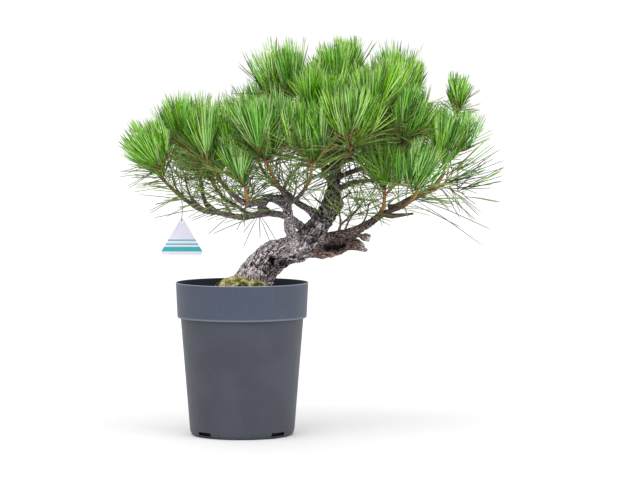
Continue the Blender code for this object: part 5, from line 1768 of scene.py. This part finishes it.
class BonsaiBark(bpy.types.PropertyGroup):
    """Sizes and colours of the wood"""

    plate_width: length_field("Plate width", "Width of the bark's plates round the trunk", 3.5)
    plate_length: length_field("Plate length", "Length of the bark's plates up the trunk", 10.5)
    crack_depth: length_field("Crack depth", "Depth of the cracks between plates", 1.9)
    young_length: length_field("Young wood", "Length of orange-brown wood at the end of a branch", 52.0)
    flake_pale: colour_field("Pale flakes", "The palest plates", 255, 244, 248)
    flake_dark: colour_field("Dark flakes", "The darkest plates", 136, 120, 122)
    flake_brown: colour_field("Brown flakes", "Freshly bared plates", 204, 182, 174)
    root: colour_field("Foot", "Tinge near the ground", 196, 168, 184)
    # Higher wood, partly painted shade under the crown
    high: colour_field("High wood", "Dark plates higher up the tree", 58, 49, 51)
    high_pale: colour_field("High wood, pale", "Pale plates higher up the tree", 204, 192, 194)
    bough: colour_field("Right bough", "Pale plates of the right bough", 152, 128, 112)
    bough_dark: colour_field("Right bough, dark", "Dark plates of the right bough", 84, 68, 58)
    twig: colour_field("Twigs", "Thin wood", 116, 98, 84)
    # Near black: the cracks' own colour with painted shade
    crack: colour_field("Cracks", "Bottoms of the cracks", 14, 10, 10)
    shoot: colour_field("Shoots", "Year-old shoots", 208, 158, 92)
    shoot_pale: colour_field("Shoots, pale", "Ridges on the shoots", 234, 204, 152)
    shoot_dark: colour_field("Shoots, dark", "Hollows on the shoots", 142, 100, 60)
    wood_pale: colour_field("Dead wood, pale", "Palest fibres", 158, 134, 122)
    wood_dark: colour_field("Dead wood, dark", "Darkest fibres", 66, 50, 46)
    wood_torn: colour_field("Dead wood, torn", "Fibres where the limb is torn", 222, 186, 172)
    wood_end: colour_field("Dead wood, end", "The broken end", 224, 214, 212)
    wood_grey: colour_field("Dead wood, grey", "Weathered patches", 118, 104, 102)
    # Near black: the gaps' own dark with painted shade, also in the hollows
    wood_gap: colour_field("Dead wood, gaps", "Gaps between fibres", 12, 8, 7)


class BonsaiNeedles(bpy.types.PropertyGroup):
    """Number, size and colours of the needles"""

    thickness: length_field("Thickness", "Thickness of a needle", 1.45)
    pairs: count_field("Pairs on a shoot", "Pairs of needles on each year-old shoot", 50)
    twig_pairs: count_field("Pairs on a twig", "Pairs of needles on each finer shoot", 21)
    # Painted shade and painted light across a spray's needles
    darkest: amount_field("Darkest", "The darkest needle of a spray, as a share of its colour", 0.2)
    palest: amount_field("Palest", "The palest needle of a spray, as a share of its colour", 1.2)
    bright: colour_field("Bright", "Young bright sprays", 149, 222, 26)
    mid: colour_field("Mid", "Middle green sprays", 132, 215, 28)
    blue: colour_field("Blue-green", "Blue-green sprays", 121, 203, 64)
    deep: colour_field("Deep", "Deep green sprays", 110, 198, 26)
    old: colour_field("Old", "Old needles low on the shoots", 124, 150, 70)
    long: colour_field("Long", "Long needles that stand clear of the crown", 66, 82, 54)
    # Painted glints on the palest needles
    tip: colour_field("Glints", "The palest needles", 222, 238, 176)
    end: colour_field("Ends", "Dry ends of the needles", 92, 110, 62)
    sheath: colour_field("Sheaths", "Papery sheaths at the roots", 120, 92, 60)


class BonsaiGround(bpy.types.PropertyGroup):
    """Soil, grit, moss and fallen needles"""

    grit_density: amount_field("Grit", "Bits of grit on each square metre of soil", 95000)
    moss_density: amount_field("Moss", "Moss shoots on each square metre of the mound", 620000)
    straw: count_field("Fallen needles", "Dry needles on the ground", 320)
    soil: colour_field("Soil", "Middle soil colour", 92, 68, 50)
    soil_dark: colour_field("Soil, dark", "Dark soil", 44, 32, 26)
    soil_pale: colour_field("Soil, pale", "Pale grit", 158, 138, 112)
    moss: colour_field("Moss", "Middle moss colour", 128, 136, 62)
    moss_dark: colour_field("Moss, dark", "Deep in the moss", 44, 44, 24)
    moss_pale: colour_field("Moss, pale", "Tips of the moss", 236, 226, 178)
    straw_pale: colour_field("Straw", "Dry needles", 206, 176, 116)
    straw_dark: colour_field("Straw, dark", "Older dry needles", 142, 98, 58)


class BonsaiTag(bpy.types.PropertyGroup):
    """Colours of the tag and its tie"""

    plastic: colour_field("Plastic", "The tag's sheet", 202, 200, 216)
    plastic_shade: colour_field("Plastic, shaded", "Clouding in the sheet", 190, 188, 206)
    stripe: colour_field("Stripes", "Plain stripes", 36, 150, 150)
    wire: colour_field("Tie", "The tie's wire", 38, 34, 32)
    wire_scuff: colour_field("Tie, scuffed", "Where the wire is scuffed", 84, 74, 66)


class BonsaiStudio(bpy.types.PropertyGroup):
    """Floor and lights"""

    floor: colour_field("Floor", "The plain floor", 208, 208, 208)
    sky: amount_field("Surrounding light", "Strength of the light from all round", 1.0)
    key: amount_field("Key light", "Strength of the light from above the camera", 2.0)
    side: amount_field("Side light", "Strength of the light from the right", 1.3)
    back: amount_field("Back light", "Strength of the light from behind", 0.7)


# Operators


class BONSAI_OT_pot(bpy.types.Operator):
    """Turns the pot and cuts the slots in its foot"""

    bl_idname = "bonsai.pot"
    bl_label = "Pot"

    def execute(self, context):
        build_pot(context.scene.bonsai_pot)
        return {"FINISHED"}


class BONSAI_OT_soil(bpy.types.Operator):
    """Fills the pot with soil and strews it with grit"""

    bl_idname = "bonsai.soil"
    bl_label = "Soil"

    def execute(self, context):
        build_soil(context.scene.bonsai_ground)
        return {"FINISHED"}


class BONSAI_OT_moss(bpy.types.Operator):
    """Builds the moss mound, its tufts and the fallen needles"""

    bl_idname = "bonsai.moss"
    bl_label = "Moss"

    def execute(self, context):
        build_moss(context.scene.bonsai_ground)
        return {"FINISHED"}


class BONSAI_OT_trunk(bpy.types.Operator):
    """Builds the trunk with its cracked bark"""

    bl_idname = "bonsai.trunk"
    bl_label = "Trunk"

    def execute(self, context):
        build_trunk(context.scene.bonsai_bark)
        return {"FINISHED"}


class BONSAI_OT_boughs(bpy.types.Operator):
    """Builds every bough and branch with its bark"""

    bl_idname = "bonsai.boughs"
    bl_label = "Boughs"

    def execute(self, context):
        build_boughs(context.scene.bonsai_bark)
        return {"FINISHED"}


class BONSAI_OT_stub(bpy.types.Operator):
    """Builds the dead, torn limb"""

    bl_idname = "bonsai.stub"
    bl_label = "Old stub"

    def execute(self, context):
        build_stub(context.scene.bonsai_bark)
        return {"FINISHED"}


class BONSAI_OT_shoots(bpy.types.Operator):
    """Builds the year-old shoots, the finer ones and their buds"""

    bl_idname = "bonsai.shoots"
    bl_label = "Shoots"

    def execute(self, context):
        build_shoots(context.scene.bonsai_bark)
        return {"FINISHED"}


class BONSAI_OT_needles(bpy.types.Operator):
    """Grows the brushes of needles on every shoot"""

    bl_idname = "bonsai.needles"
    bl_label = "Needles"

    def execute(self, context):
        build_needles(context.scene.bonsai_needles)
        return {"FINISHED"}


class BONSAI_OT_tag(bpy.types.Operator):
    """Finishes the tag and twists the wire that it hangs on"""

    bl_idname = "bonsai.tag"
    bl_label = "Tag and tie"

    def execute(self, context):
        build_tag(context.scene.bonsai_tag)
        return {"FINISHED"}


class BONSAI_OT_studio(bpy.types.Operator):
    """Sets up the floor, the lights and the camera"""

    bl_idname = "bonsai.studio"
    bl_label = "Studio"

    def execute(self, context):
        build_studio(context.scene.bonsai_studio)
        return {"FINISHED"}


class BONSAI_PT_panel(bpy.types.Panel):
    """Settings and steps of the bonsai"""

    bl_idname = "BONSAI_PT_panel"
    bl_label = "Black pine bonsai"
    bl_space_type = "VIEW_3D"
    bl_region_type = "UI"
    bl_category = "Bonsai"

    def draw(self, context):
        for group in GROUPS:
            settings = getattr(context.scene, group)
            box = self.layout.box()
            box.label(text=settings.bl_rna.description)
            for field in settings.bl_rna.properties.keys():
                if field not in ("rna_type", "name"):
                    box.prop(settings, field)
        for step in STEPS:
            self.layout.operator(step.bl_idname)


GROUPS = {
    "bonsai_pot": BonsaiPot,
    "bonsai_bark": BonsaiBark,
    "bonsai_needles": BonsaiNeedles,
    "bonsai_ground": BonsaiGround,
    "bonsai_tag": BonsaiTag,
    "bonsai_studio": BonsaiStudio,
}
STEPS = (
    BONSAI_OT_studio,
    BONSAI_OT_pot,
    BONSAI_OT_soil,
    BONSAI_OT_moss,
    BONSAI_OT_trunk,
    BONSAI_OT_boughs,
    BONSAI_OT_stub,
    BONSAI_OT_shoots,
    BONSAI_OT_needles,
    BONSAI_OT_tag,
)


def register():
    for kind in (*GROUPS.values(), *STEPS, BONSAI_PT_panel):
        bpy.utils.register_class(kind)
    for group, kind in GROUPS.items():
        setattr(bpy.types.Scene, group, bpy.props.PointerProperty(type=kind))


def unregister():
    for group in GROUPS:
        delattr(bpy.types.Scene, group)
    for kind in reversed((*GROUPS.values(), *STEPS, BONSAI_PT_panel)):
        bpy.utils.unregister_class(kind)


def main():
    register()
    for step in STEPS:
        group, name = step.bl_idname.split(".")
        getattr(getattr(bpy.ops, group), name)()


if __name__ == "__main__":
    main()
